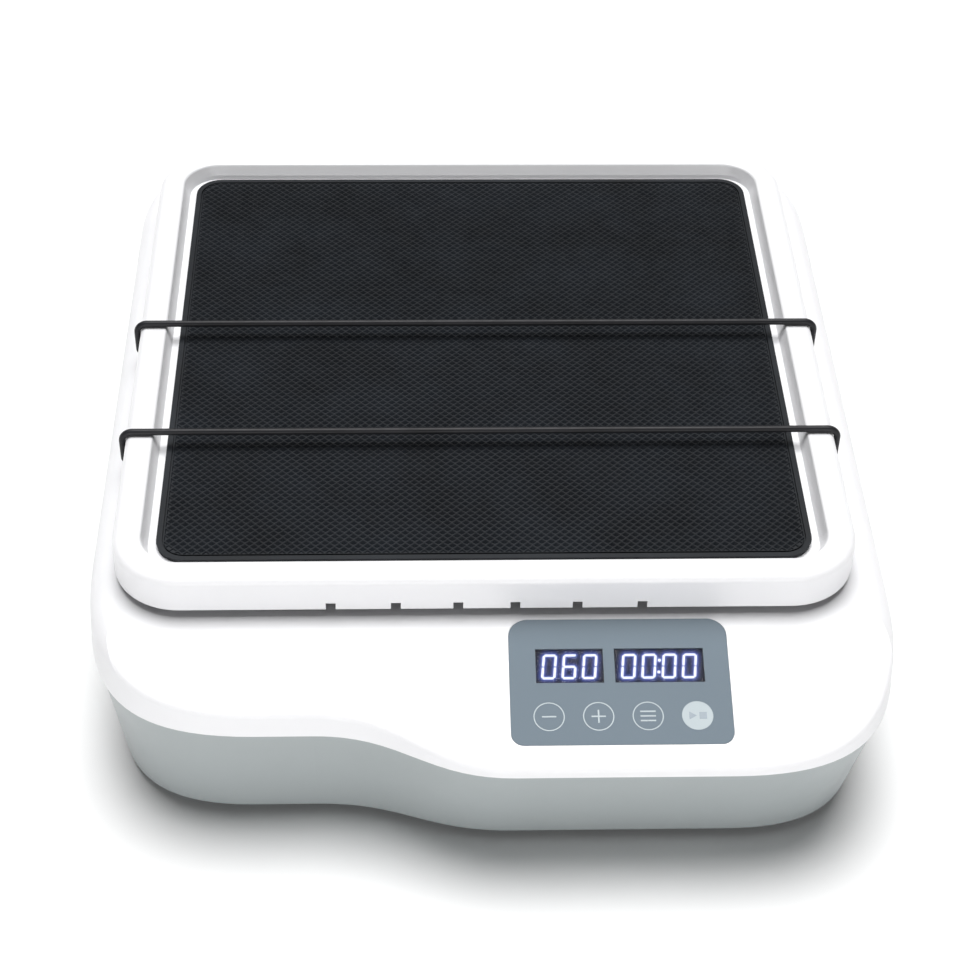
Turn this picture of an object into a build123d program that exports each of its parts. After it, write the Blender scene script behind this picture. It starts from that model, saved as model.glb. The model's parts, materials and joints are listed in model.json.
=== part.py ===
from build123d import *
from math import cos, radians, sin, sqrt, tan
import os

os.makedirs("parts", exist_ok=True)

# Tray and housing, in millimetres. Plan distances are measured from the drive axis.
tray_width = 290.0
housing_margin = 13.5
left_front_margin = 51.5
right_front_margin = 73.1

# Curves of the housing's plan outline, as shares of its half width
bend_start_share = -0.43
bend_end_share = 0.05
bend_softness = 0.45
front_corner_side_share = 0.49
front_corner_front_share = 0.43
rear_corner_side_share = 0.34
rear_corner_rear_share = 0.315
corner_fullness = 0.72
corner_tightening = 1.3

# Heights, from the bench upwards
foot_height = 4.3
base_height = 50.0
cover_height = 22.2
tray_gap = 3.8
skirt_drop = 5.7
tray_floor = 3.0
mat_thickness = 2.0
rim_rise = 6.7

# Walls, drafts and edges of the two shells
base_wall = 3.0
base_floor = 3.0
base_draft = 8.0
right_front_draft = 16.0
base_edge_radius = 1.2
cover_wall = 2.6
cover_draft_inset = 1.5
lip_overhang = 1.0
tongue_thickness = 1.0
tongue_height = 2.5
tongue_clearance = 0.3
apron_tilt = 17.0
front_lip_height = 3.7
crease_radius = 40.0
apron_edge_radius = 2.6
shoulder_radius = 9.0

# Orbit of the platform
orbit_radius = 10.0
rest_phase = -99.8
idler_inset = 50.0
sweep_clearance = 1.7
collar_height = 2.0
collar_wall = 1.5
collar_clearance = 1.5

# Tray, mat and cords
tray_corner = 27.0
rim_width = 11.0
rim_slope_run = 2.5
tray_wall = 2.5
rim_edge_radius = 3.0
mat_margin = 17.0
mat_corner = 11.0
mat_gap = 3.5
notch_width = 3.8
notch_height = 3.2
notch_places = (-60.0, -35.0, -11.0, 11.0, 35.0, 60.0)
tray_rib_inset = 60.0
tray_rib_wall = 1.8
tray_rib_length = 20.0
cord_diameter = 2.8
cord_gap = 0.1
knob_radius = 2.9
knob_length = 5.0
rear_cord_notch = 3
front_cord_notch = 0

# Clearances
seat_gap = 0.02
running_gap = 0.06
pin_gap = 0.10
body_gap = 0.3
guard_gap = 1.5

# Chassis and bosses
chassis_margin = 22.0
chassis_boss_inset = 10.0
chassis_boss_share = 0.41
chassis_end_boss_inset = 13.0
chassis_thickness = 3.0
chassis_boss_height = 4.7
boss_radius = 5.0
screw_radius = 1.5
screw_head_radius = 2.75
screw_head_height = 2.0

# Bearings: bore radius, outer radius, width
main_bearing = (6.0, 14.0, 8.0)
idler_bearing = (4.0, 11.0, 7.0)
platform_bearing = (6.0, 10.5, 5.0)
inner_ring_share = 0.28
outer_ring_share = 0.30
shield_recess = 0.4
shield_gap = 0.3
clip_thickness = 1.0

# Drive
drive_pulley_radius = 45.0
motor_pulley_radius = 7.5
pulley_width = 11.0
groove_count = 4
groove_pitch = 2.34
groove_depth = 2.0
groove_half_width = 0.95
belt_thickness = 1.4
belt_rib_height = 1.4
belt_rib_half_width = 0.6
motor_inset = 29.0
motor_radius = 18.0
motor_floor_gap = 3.0
motor_shaft_radius = 2.5
crank_disc_radius = 22.0
crank_disc_thickness = 6.0
counterweight_radius = 52.0
counterweight_thickness = 7.0
bushing_wall = 2.0
bush_boss_radius = 9.0
bush_boss_drop = 3.5
idler_arm_thickness = 5.0
carrier_margin = 18.0
carrier_thickness = 3.0
hub_drop = 5.0
hub_wall = 3.0
pin_shoulder_radius = 7.0
housing_screw_grip = 9.0
display_screw_radius = 1.0
display_screw_grip = 4.0

# Control panel, measured in the slope of the apron
panel_width = 84.0
panel_length = 52.7
panel_place_share = 0.305
panel_inset = 25.2
panel_thickness = 0.8
panel_top_corner = 7.5
panel_bottom_corner = 5.0
window_height = 14.4
window_drop = 12.6
speed_window = (10.1, 25.9)
time_window = (40.3, 34.2)
key_radius = 5.9
key_first = 14.5
key_pitch = 18.7
key_rise = 11.7
display_depth = 8.0
board_thickness = 1.6

# Seats, lips and gaps of the mechanism
shield_thickness = 0.6
clip_reach = 1.6
clip_opening = 2.0
groove_sink = 0.6
clip_land = 0.8
stack_gap = 1.2
bracket_gap = 2.4
bearing_sink = 0.5
bearing_lip = 2.0
idler_bearing_spacing = 15.0
hub_lid = 2.0
hub_lip = 1.0
tower_wall = 3.5
tower_foot = 0.5
tower_flange = 26.0
flange_thickness = 4.0
tower_screw_ring = 21.8
shaft_hole_step = 4.0
motor_hole_gap = 0.5
chassis_corner = 20.0
chassis_hole_radius = 12.0
chassis_hole_ring = 62.0
chassis_screw_grip = 3.5
weight_screw_ring = 15.0
weight_screw_spread = 40.0
idler_wall = 3.0
idler_flange = 21.0
idler_screw_ring = 17.4
idler_lip = 1.5
idler_shoulder_radius = 5.5
idler_arm_radius = 9.0
idler_pin_arm_radius = 7.5
spacer_wall = 2.0
pulley_hub_radius = 13.0
pulley_step_radius = 8.0
pulley_rim = 5.5
pulley_web = 4.0
pulley_hole_radius = 7.0
pulley_hole_ring = 26.5
groove_floor = 0.25
flange_rise = 2.2
flange_width = 1.0
belt_side_margin = 0.5
belt_rib_tip = 0.2
weight_hub_radius = 20.0
weight_corner = 4.0
motor_boss_radius = 6.0
motor_boss_height = 1.5
motor_edge = 1.2
motor_screw_ring = 12.5
motor_screw_head = (2.2, 1.3)
motor_shaft_end = 3.0
bracket_thickness = 2.5
bracket_length = 44.0
bracket_half_width = 24.5
bracket_foot = 11.0
bracket_screw_x = 15.0
bracket_screw_y = 30.0
carrier_corner = 18.0
carrier_rib_width = 4.0
carrier_rib_height = 2.5
carrier_hole_share = 0.14
carrier_ring_shares = (0.46, 0.83)
hub_clip_reach = 1.5
hub_lip_reach = 1.3
pin_chamfer = 0.6
tray_screw_share = 0.53
tray_rib_drop = 4.0
knob_end_wall = 0.6
capacitor_edge = 0.8
inlet_edge = 0.8
inlet_pin_recess = 1.2
tray_screw_head = 2.9
tray_floor_corner = 13.0
rim_inner_radius = 1.2
channel_wall = 2.3
board_edge_radius = 1.5
display_board_size = (80.0, 46.0)
display_screw_head = (1.9, 1.1)
display_cover_gap = 0.1
inlet_flange = (7.0, 2.0)
inlet_depth = 9.0
inlet_socket_radius = 2.8
inlet_pin_radius = 1.0
inlet_body = (4.5, 7.0)
inlet_nut_radius = 8.0
inlet_nut_height = 2.5
switch_flange = (21.0, 15.0, 2.0)
switch_depth = 12.0
switch_cavity = (16.6, 10.6, 9.3)
rocker_radius = 8.0
rocker_width = 10.0
rocker_corner = (7.0, 2.6)
rocker_valley = 1.3
rocker_pivot_depth = 1.0
rocker_pivot_radius = 1.2
rocker_pivot_reach = 6.2
rocker_tilt = 10.0
capacitor_radius = 5.0
capacitor_height = 13.0
capacitor_places = [(-38.0, -14.0), (-38.0, -2.0), (-38.0, 10.0)]
connector_size = (13.0, 7.0, 8.5)
connector_wall = 1.0
connector_places = [(-14.0, 18.5), (4.0, 18.5), (22.0, 18.5)]
sink_size = (32.0, 22.0, 16.0)
sink_place = (-8.0, -8.0)
sink_base = 2.5
sink_fin = 1.4
sink_fin_count = 7
chip_places = [(27.0, -13.0, 12.0, 12.0), (20.0, 4.0, 8.0, 5.0), (35.0, 4.0, 6.0, 5.0)]
chip_height = 1.6
foot_hole_radius = 1.8
foot_head_radius = 3.4
foot_head_level = 3.0
foot_edge = 1.5

# Plan sizes worked out from the tray's width
apron_slope = tan(radians(apron_tilt))
housing_half_width = tray_width / 2 + housing_margin
rear_reach = tray_width / 2 + housing_margin
left_front_reach = tray_width / 2 + left_front_margin
right_front_reach = tray_width / 2 + right_front_margin
crease_reach = right_front_reach - (cover_height - front_lip_height) / apron_slope
panel_reach = crease_reach + panel_inset
panel_x = panel_place_share * housing_half_width
mat_width = tray_width - 2 * mat_margin
tray_floor_half = mat_width / 2 + mat_gap
tray_rib_place = tray_width / 2 - tray_rib_inset
idler_spread = tray_width / 2 - idler_inset
chassis_half_width = idler_spread + chassis_margin
motor_reach = chassis_half_width - motor_inset
carrier_half_width = idler_spread + carrier_margin

# Levels worked out from the heights
base_bottom = foot_height
parting = base_bottom + base_height
deck_top = parting + cover_height
deck_under = deck_top - cover_wall
skirt_bottom = deck_top + tray_gap
tray_under = skirt_bottom + skirt_drop
tray_floor_top = tray_under + tray_floor
mat_top = tray_floor_top + mat_thickness
rim_top = tray_floor_top + rim_rise
floor_top = base_bottom + base_floor
chassis_bottom = floor_top + chassis_boss_height
chassis_top = chassis_bottom + chassis_thickness

# Places worked out in plan
drive_y = (right_front_reach - rear_reach) / 2
pin_x = orbit_radius * cos(radians(rest_phase))
pin_y = orbit_radius * sin(radians(rest_phase))


def at_drive(height):
    """Horizontal plane at a height, centred on the drive axis."""
    return Plane(origin=(0, drive_y, height))


def at_pin(height):
    """Horizontal plane at a height, centred on the offset pin that carries the platform."""
    return Plane(origin=(pin_x, drive_y + pin_y, height))


def along_pin(height):
    """Horizontal plane at a height on the drive axis, its own x pointing at the offset pin."""
    return Plane(origin=(0, drive_y, height), x_dir=(cos(radians(rest_phase)), sin(radians(rest_phase)), 0))


def save(part, label):
    """Labels a finished piece and writes it under the same name."""
    part.label = label
    export_step(part, f"parts/{label}.step")


def corner(start, apex, end):
    """One full, soft corner between two straight sides."""
    first = (start[0] + (apex[0] - start[0]) * corner_fullness, start[1] + (apex[1] - start[1]) * corner_fullness)
    second = (end[0] + (apex[0] - end[0]) * corner_fullness, end[1] + (apex[1] - end[1]) * corner_fullness)
    Bezier(start, first, second, end)


def draw_housing(inset, right_inset=None):
    """Draws the housing's plan outline, moved inwards, into the open line."""
    right_inset = inset if right_inset is None else right_inset
    side = housing_half_width - inset
    rear = rear_reach - inset
    left = -left_front_reach + inset
    right = -right_front_reach + right_inset
    rear_side = rear - rear_corner_side_share * housing_half_width + corner_tightening * inset
    rear_run = side - rear_corner_rear_share * housing_half_width + corner_tightening * inset
    side_run = front_corner_side_share * housing_half_width - corner_tightening * inset
    front_run = front_corner_front_share * housing_half_width - corner_tightening * inset
    bend_start = bend_start_share * housing_half_width
    bend_end = bend_end_share * housing_half_width
    handle = (bend_end - bend_start) * bend_softness
    Line((-rear_run, rear), (rear_run, rear))
    corner((rear_run, rear), (side, rear), (side, rear_side))
    Line((side, rear_side), (side, right + side_run))
    corner((side, right + side_run), (side, right), (side - front_run, right))
    Line((side - front_run, right), (bend_end, right))
    Bezier((bend_end, right), (bend_end - handle, right), (bend_start + handle, left), (bend_start, left))
    Line((bend_start, left), (-side + front_run, left))
    corner((-side + front_run, left), (-side, left), (-side, left + side_run))
    Line((-side, left + side_run), (-side, rear_side))
    corner((-side, rear_side), (-side, rear), (-rear_run, rear))


far = 2 * right_front_reach


def draw_cover_profile(drop):
    """Draws the side profile of deck and apron, lowered by a wall, into the open line."""
    crease_y = drive_y - crease_reach + drop * tan(radians(apron_tilt / 2))
    front_y = drive_y - far
    top = deck_top - drop
    Polyline((drive_y + far, parting - far), (drive_y + far, top), (crease_y, top),
             (front_y, top - (crease_y - front_y) * apron_slope), (front_y, parting - far), close=True)


# Places that several pieces share, from the drive axis
rear_screw = (housing_half_width - 40.5, rear_reach - 26.5)
side_screw_x = housing_half_width - 22.5
left_screw = (36.5 - housing_half_width, 32.5 - left_front_reach)
right_screw = (housing_half_width - 36.5, 38.1 - right_front_reach)
rear_foot = (housing_half_width - 38.5, rear_reach - 60.5)
left_foot = (42.5 - housing_half_width, 58.5 - left_front_reach)
right_foot = (housing_half_width - 42.5, 68.1 - right_front_reach)
housing_screw_places = [(-rear_screw[0], rear_screw[1]), rear_screw, (-side_screw_x, 0), (side_screw_x, 0),
                        left_screw, right_screw]
foot_places = [(-rear_foot[0], rear_foot[1]), rear_foot, left_foot, right_foot]
chassis_boss_x = chassis_half_width - chassis_boss_inset
chassis_boss_y = chassis_boss_share * chassis_half_width
chassis_end_boss_y = chassis_half_width - chassis_end_boss_inset
chassis_boss_places = [(-chassis_boss_x, chassis_boss_y), (chassis_boss_x, chassis_boss_y),
                       (-chassis_boss_x, -chassis_boss_y), (chassis_boss_x, -chassis_boss_y),
                       (0, chassis_end_boss_y), (0, -chassis_end_boss_y)]
idler_places = [(idler_spread, idler_spread), (-idler_spread, idler_spread),
                (-idler_spread, -idler_spread), (idler_spread, -idler_spread)]
vent_pitch = 8.0
vent_slot = (34.0, 3.0)
vent_places = [(-motor_reach + step * vent_pitch, 0) for step in range(-3, 4)]
board_size = (92.0, 50.0)
board_centre = (-0.328 * housing_half_width, -chassis_half_width - 33.0)
board_boss_inset = 4.0
board_boss_height = 6.0
housing_boss_radius = 4.5
screw_clearance = 0.3
foot_radius = 10.0
foot_sink = 2.0
counterbore_radius = 3.6
counterbore_depth = 8.0
board_boss_places = [(board_centre[0] + sx * (board_size[0] / 2 - board_boss_inset),
                      board_centre[1] + sy * (board_size[1] / 2 - board_boss_inset))
                     for sx in (-1, 1) for sy in (-1, 1)]

# Rear wall: plane of its outer face, leaning with the draft
rear_wall_height = base_bottom + 0.474 * base_height
inlet_x = 0.391 * housing_half_width
switch_x = 0.631 * housing_half_width
rear_lean = radians(base_draft)


def on_rear_wall(x):
    """Plane on the outer face of the rear wall, facing out, with its own x to the left."""
    y = drive_y + rear_reach - lip_overhang - (parting - rear_wall_height) * tan(rear_lean)
    return Plane(origin=(x, y, rear_wall_height), x_dir=(-1, 0, 0), z_dir=(0, cos(rear_lean), -sin(rear_lean)))


inlet_barrel_radius = 5.5
switch_length = 19.0
switch_width = 13.0

# Base shell
side_lean = base_height * tan(radians(base_draft))
right_lean = base_height * tan(radians(right_front_draft))

with BuildPart() as base_void:
    with BuildSketch(at_drive(base_bottom)):
        with BuildLine():
            draw_housing(lip_overhang + side_lean + base_wall, lip_overhang + right_lean + base_wall)
        make_face()
    with BuildSketch(at_drive(parting)):
        with BuildLine():
            draw_housing(lip_overhang + base_wall)
        make_face()
    loft(ruled=True)
    with BuildSketch(at_drive(base_bottom)):
        Rectangle(4 * housing_half_width, 4 * housing_half_width)
    extrude(amount=base_floor, mode=Mode.SUBTRACT)

# Locating tongue inside the cover's wall, kept below the apron
with BuildPart() as tongue:
    tongue_outset = cover_wall + tongue_clearance
    with BuildSketch(at_drive(parting)):
        with BuildLine():
            draw_housing(tongue_outset)
        make_face()
        with BuildLine():
            draw_housing(tongue_outset + tongue_thickness)
        make_face(mode=Mode.SUBTRACT)
    extrude(amount=tongue_height)
    with BuildSketch(Plane.YZ):
        with BuildLine():
            draw_cover_profile(cover_wall + tongue_clearance)
        make_face()
    extrude(amount=far, both=True, mode=Mode.INTERSECT)

with BuildPart() as base_shell:
    with BuildSketch(at_drive(base_bottom)):
        with BuildLine():
            draw_housing(lip_overhang + side_lean, lip_overhang + right_lean)
        make_face()
    with BuildSketch(at_drive(parting)):
        with BuildLine():
            draw_housing(lip_overhang)
        make_face()
    loft(ruled=True)
    fillet(base_shell.faces().sort_by(Axis.Z)[0].edges(), radius=base_edge_radius)
    add(base_void.part, mode=Mode.SUBTRACT)
    add(tongue.part)
    # Bosses for the chassis, the board and the housing screws
    with BuildSketch(at_drive(floor_top)):
        with Locations(*chassis_boss_places):
            Circle(boss_radius)
    extrude(amount=chassis_boss_height)
    with BuildSketch(at_drive(floor_top)):
        with Locations(*board_boss_places):
            Circle(boss_radius - 1)
    extrude(amount=board_boss_height)
    with BuildSketch(at_drive(floor_top)):
        with Locations(*housing_screw_places):
            Circle(housing_boss_radius)
    extrude(amount=parting - floor_top)
    with BuildSketch(at_drive(floor_top)):
        with Locations(*foot_places):
            Circle(boss_radius)
    extrude(amount=base_floor)
    # Holes for the screws and recesses for the feet
    with BuildSketch(at_drive(floor_top + 1)):
        with Locations(*chassis_boss_places):
            Circle(screw_radius + screw_clearance)
    extrude(amount=chassis_boss_height, mode=Mode.SUBTRACT)
    with BuildSketch(at_drive(floor_top + 1)):
        with Locations(*board_boss_places):
            Circle(screw_radius + screw_clearance)
    extrude(amount=board_boss_height, mode=Mode.SUBTRACT)
    with BuildSketch(at_drive(base_bottom)):
        with Locations(*housing_screw_places):
            Circle(screw_radius + screw_clearance)
    extrude(amount=base_height, mode=Mode.SUBTRACT)
    with BuildSketch(at_drive(base_bottom)):
        with Locations(*housing_screw_places):
            Circle(counterbore_radius)
    extrude(amount=counterbore_depth, mode=Mode.SUBTRACT)
    with BuildSketch(at_drive(base_bottom)):
        with Locations(*foot_places):
            Circle(foot_radius + body_gap)
    extrude(amount=foot_sink, mode=Mode.SUBTRACT)
    with BuildSketch(at_drive(base_bottom)):
        with Locations(*foot_places):
            Circle(screw_radius + screw_clearance)
    extrude(amount=2 * base_floor - 1, mode=Mode.SUBTRACT)
    # Air slots under the motor
    with BuildSketch(at_drive(base_bottom)):
        with Locations(*vent_places):
            SlotOverall(vent_slot[0], vent_slot[1], rotation=90)
    extrude(amount=base_floor, mode=Mode.SUBTRACT)
    # Cut-outs in the rear wall
    with BuildSketch(on_rear_wall(inlet_x)):
        Circle(inlet_barrel_radius + screw_clearance)
    extrude(amount=-2 * base_wall, mode=Mode.SUBTRACT)
    with BuildSketch(on_rear_wall(switch_x)):
        Rectangle(switch_length + 2 * body_gap, switch_width + 2 * body_gap)
    extrude(amount=-2 * base_wall, mode=Mode.SUBTRACT)
save(base_shell.part, "base_shell")

# Top cover
hub_radius = platform_bearing[1] + hub_wall
drive_opening = orbit_radius + pin_shoulder_radius + sweep_clearance
idler_opening = orbit_radius + idler_bearing[0] + sweep_clearance
drive_collar = orbit_radius + hub_radius + collar_clearance
idler_collar = orbit_radius + bush_boss_radius + collar_clearance

with BuildPart() as cover_void:
    with BuildSketch(at_drive(parting)):
        with BuildLine():
            draw_housing(cover_wall)
        make_face()
    with BuildSketch(at_drive(deck_top)):
        with BuildLine():
            draw_housing(cover_wall + cover_draft_inset)
        make_face()
    loft(ruled=True)
    with BuildSketch(Plane.YZ):
        with BuildLine():
            draw_cover_profile(cover_wall)
        make_face()
    extrude(amount=far, both=True, mode=Mode.INTERSECT)

with BuildPart() as shoulder_form:
    with BuildSketch(at_drive(parting)):
        with BuildLine():
            draw_housing(0)
        make_face()
    with BuildSketch(at_drive(deck_top)):
        with BuildLine():
            draw_housing(cover_draft_inset)
        make_face()
    loft(ruled=True)
    fillet(shoulder_form.faces().sort_by(Axis.Z)[-1].edges(), radius=shoulder_radius)

# Taller walls cut all over by the apron's plane, with a tight edge all round
wall_share = 2 + (rear_reach + crease_reach) * apron_slope / cover_height
with BuildPart() as apron_form:
    with BuildSketch(at_drive(parting)):
        with BuildLine():
            draw_housing(0)
        make_face()
    with BuildSketch(at_drive(parting + wall_share * cover_height)):
        with BuildLine():
            draw_housing(wall_share * cover_draft_inset)
        make_face()
    loft(ruled=True)
    with BuildSketch(Plane.YZ):
        with BuildLine():
            Polyline((drive_y - far, parting - far), (drive_y - far, deck_top - (far - crease_reach) * apron_slope),
                     (drive_y + far, deck_top + (far + crease_reach) * apron_slope), (drive_y + far, parting - far),
                     close=True)
        make_face()
    extrude(amount=far, both=True, mode=Mode.INTERSECT)
    slope = [face for face in apron_form.faces() if abs(face.normal_at().Y + sin(radians(apron_tilt))) < 0.01]
    fillet(slope[0].edges(), radius=apron_edge_radius)

with BuildPart() as cover_form:
    with BuildSketch(Plane.YZ) as form_profile:
        with BuildLine():
            draw_cover_profile(0)
        make_face()
        crease = form_profile.vertices().sort_by_distance(Vector(drive_y - crease_reach, deck_top))[0]
        fillet(crease, radius=crease_radius)
    extrude(amount=far, both=True)
    add(apron_form.part, mode=Mode.INTERSECT)
    add(shoulder_form.part, mode=Mode.INTERSECT)


def on_apron(depth):
    """Plane at the middle of the control panel, in the slope of the apron, at a depth below its face."""
    height = deck_top - (panel_reach - crease_reach) * apron_slope
    lean = radians(apron_tilt)
    face = Plane(origin=(panel_x, drive_y - panel_reach, height), x_dir=(1, 0, 0), z_dir=(0, -sin(lean), cos(lean)))
    return face.offset(-depth)


panel_gap = 0.15
module_margin = 1.0
pad_radius = 5.0
display_boss_radius = 3.0
display_boss_x = 36.5
display_boss_y = 19.5
display_board_margin = 3.5
board_depth = panel_thickness + display_depth
window_places = [(-panel_width / 2 + start + width / 2, panel_length / 2 - window_drop - window_height / 2, width)
                 for start, width in (speed_window, time_window)]
key_places = [(-panel_width / 2 + key_first + step * key_pitch, -panel_length / 2 + key_rise) for step in range(4)]
display_boss_places = [(sx * display_boss_x, sy * display_boss_y) for sx in (-1, 1) for sy in (-1, 1)]

with BuildPart() as top_cover:
    add(cover_form.part)
    add(cover_void.part, mode=Mode.SUBTRACT)
    # Screw bosses under the deck and board bosses under the panel
    with BuildSketch(at_drive(parting)):
        with Locations(*housing_screw_places):
            Circle(housing_boss_radius)
    extrude(amount=cover_height)
    with BuildSketch(on_apron(board_depth)):
        with Locations(*display_boss_places):
            Circle(display_boss_radius)
    extrude(amount=board_depth)
    add(cover_form.part, mode=Mode.INTERSECT)
    # Splash collars round the openings for the moving pins
    with BuildSketch(at_drive(deck_top)):
        Circle(drive_collar + collar_wall)
        Circle(drive_collar, mode=Mode.SUBTRACT)
        with Locations(*idler_places):
            Circle(idler_collar + collar_wall)
            Circle(idler_collar, mode=Mode.SUBTRACT)
    extrude(amount=collar_height)
    with BuildSketch(at_drive(deck_under - 1)):
        Circle(drive_opening)
        with Locations(*idler_places):
            Circle(idler_opening)
    extrude(amount=cover_wall + 2, mode=Mode.SUBTRACT)
    # Pilot holes in the bosses
    with BuildSketch(at_drive(parting)):
        with Locations(*housing_screw_places):
            Circle(screw_radius + seat_gap)
    extrude(amount=housing_screw_grip + 1, mode=Mode.SUBTRACT)
    with BuildSketch(on_apron(board_depth)):
        with Locations(*display_boss_places):
            Circle(display_screw_radius + seat_gap)
    extrude(amount=display_screw_grip + 0.5, mode=Mode.SUBTRACT)
    # Recess, windows and sensor holes of the control panel
    with BuildSketch(on_apron(panel_thickness)) as recess:
        Rectangle(panel_width + 2 * panel_gap, panel_length + 2 * panel_gap)
        fillet(recess.vertices().sort_by(Axis.Y)[-2:], radius=panel_top_corner)
        fillet(recess.vertices().sort_by(Axis.Y)[:2], radius=panel_bottom_corner)
    extrude(amount=2 * panel_thickness, mode=Mode.SUBTRACT)
    with BuildSketch(on_apron(2 * cover_wall)):
        for x, y, width in window_places:
            with Locations((x, y)):
                Rectangle(width + 2 * module_margin + 2 * body_gap, window_height + 2 * module_margin + 2 * body_gap)
        with Locations(*key_places):
            Circle(pad_radius + body_gap)
    extrude(amount=2 * cover_wall, mode=Mode.SUBTRACT)
save(top_cover.part, "top_cover")


def upright(x, y):
    """Vertical plane through an upright axis, its own x to the right and its own y up."""
    return Plane(origin=(x, y, 0), x_dir=(1, 0, 0), z_dir=(0, -1, 0))


def outer_ring(size, bottom):
    """Outer ring of a shielded ball bearing, with a shield at each face."""
    bore, outer, width = size
    race = outer - (outer - bore) * outer_ring_share
    shield = bore + (outer - bore) * inner_ring_share + shield_gap
    recess_end = shield_recess + shield_thickness
    with BuildPart() as ring:
        with BuildSketch(upright(0, 0)):
            with BuildLine():
                Polyline((outer, bottom), (outer, bottom + width), (race, bottom + width),
                         (race, bottom + width - shield_recess), (shield, bottom + width - shield_recess),
                         (shield, bottom + width - recess_end), (race, bottom + width - recess_end),
                         (race, bottom + recess_end), (shield, bottom + recess_end),
                         (shield, bottom + shield_recess), (race, bottom + shield_recess),
                         (race, bottom), close=True)
            make_face()
        revolve(axis=Axis.Z)
    return ring.part


def inner_ring(size, bottom):
    """Inner ring of a ball bearing."""
    bore, outer, width = size
    with BuildPart() as ring:
        with BuildSketch(Plane.XY.offset(bottom)):
            Circle(bore + (outer - bore) * inner_ring_share)
            Circle(bore, mode=Mode.SUBTRACT)
        extrude(amount=width)
    return ring.part


def shaft_clip(shaft_radius, bottom):
    """Retaining ring seated in a groove of a shaft."""
    with BuildPart() as clip:
        with BuildSketch(Plane.XY.offset(bottom)):
            Circle(shaft_radius + clip_reach)
            Circle(shaft_radius - groove_sink + seat_gap, mode=Mode.SUBTRACT)
            with Locations((shaft_radius + clip_reach / 2, 0)):
                Rectangle(clip_reach * 2, clip_opening, mode=Mode.SUBTRACT)
        extrude(amount=clip_thickness)
    return clip.part


def cap_screw(length, head_radius=screw_head_radius, head_height=screw_head_height, radius=screw_radius):
    """Socket head screw along Z, the head standing on the origin and the shank below it."""
    with BuildPart() as screw:
        with BuildSketch():
            Circle(head_radius)
        extrude(amount=head_height)
        with BuildSketch(Plane.XY.offset(head_height)):
            RegularPolygon(head_radius * 0.5, 6)
        extrude(amount=-head_height / 2, mode=Mode.SUBTRACT)
        with BuildSketch():
            Circle(radius)
        extrude(amount=-length)
    return screw.part


def group(piece, places, plane):
    """Copies of one piece at several places of a plane, as separate solids."""
    with BuildPart() as copies:
        for x, y in places:
            add(piece.moved((plane * Pos(x, y, 0))))
    return copies.part


# Feet and the screws of the shells
with BuildPart() as foot:
    with BuildSketch(upright(0, 0)):
        with BuildLine():
            Polyline((foot_hole_radius, foot_height + foot_sink), (foot_radius, foot_height + foot_sink),
                     (foot_radius, foot_edge), (foot_radius - foot_edge, 0), (foot_head_radius, 0),
                     (foot_head_radius, foot_head_level), (foot_hole_radius, foot_head_level), close=True)
        make_face()
    revolve(axis=Axis.Z)
save(group(foot.part, foot_places, at_drive(0)), "feet")

foot_screw = cap_screw(foot_height + foot_sink - foot_head_level + base_floor)
foot_screw = foot_screw.rotate(Axis.X, 180)
save(group(foot_screw, foot_places, at_drive(foot_head_level)), "foot_screws")

housing_screw = cap_screw(base_height - counterbore_depth + housing_screw_grip)
housing_screw = housing_screw.rotate(Axis.X, 180)
save(group(housing_screw, housing_screw_places, at_drive(base_bottom + counterbore_depth)), "housing_screws")

# Chassis plate
quarter_turn = [(cos(radians(45 + 90 * step)), sin(radians(45 + 90 * step))) for step in range(4)]
tower_screw_places = [(tower_screw_ring * x, tower_screw_ring * y) for x, y in quarter_turn]
idler_screw_places = [(x + idler_screw_ring * u, y + idler_screw_ring * v)
                      for x, y in idler_places for u, v in quarter_turn]
bracket_screw_places = [(-motor_reach + sx * bracket_screw_x, sy * bracket_screw_y)
                        for sx in (-1, 1) for sy in (-1, 1)]
with BuildPart() as chassis_plate:
    with BuildSketch(at_drive(chassis_bottom)) as plate:
        Rectangle(2 * chassis_half_width, 2 * chassis_half_width)
        fillet(plate.vertices(), radius=chassis_corner)
        with Locations(*chassis_boss_places):
            Circle(screw_radius + screw_clearance, mode=Mode.SUBTRACT)
        Circle(main_bearing[1] - shaft_hole_step, mode=Mode.SUBTRACT)
        with Locations((-motor_reach, 0)):
            Circle(motor_radius + motor_hole_gap, mode=Mode.SUBTRACT)
        with Locations(*idler_places):
            Circle(idler_bearing[1] - shaft_hole_step / 2, mode=Mode.SUBTRACT)
        with Locations(*tower_screw_places, *idler_screw_places, *bracket_screw_places):
            Circle(screw_radius + seat_gap, mode=Mode.SUBTRACT)
        with PolarLocations(chassis_hole_ring, 4, start_angle=45):
            Circle(chassis_hole_radius, mode=Mode.SUBTRACT)
        with Locations((chassis_hole_ring, 0), (0, chassis_hole_ring), (0, -chassis_hole_ring)):
            Circle(chassis_hole_radius, mode=Mode.SUBTRACT)
    extrude(amount=chassis_thickness)
save(chassis_plate.part, "chassis_plate")
with BuildPart() as chassis_screws:
    add(group(cap_screw(chassis_thickness + chassis_screw_grip), chassis_boss_places, at_drive(chassis_top)))
    add(group(cap_screw(flange_thickness + chassis_thickness), tower_screw_places + idler_screw_places,
              at_drive(chassis_top + flange_thickness)))
    add(group(cap_screw(bracket_thickness + chassis_thickness), bracket_screw_places,
              at_drive(chassis_top + bracket_thickness)))
save(chassis_screws.part, "chassis_screws")

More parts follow.
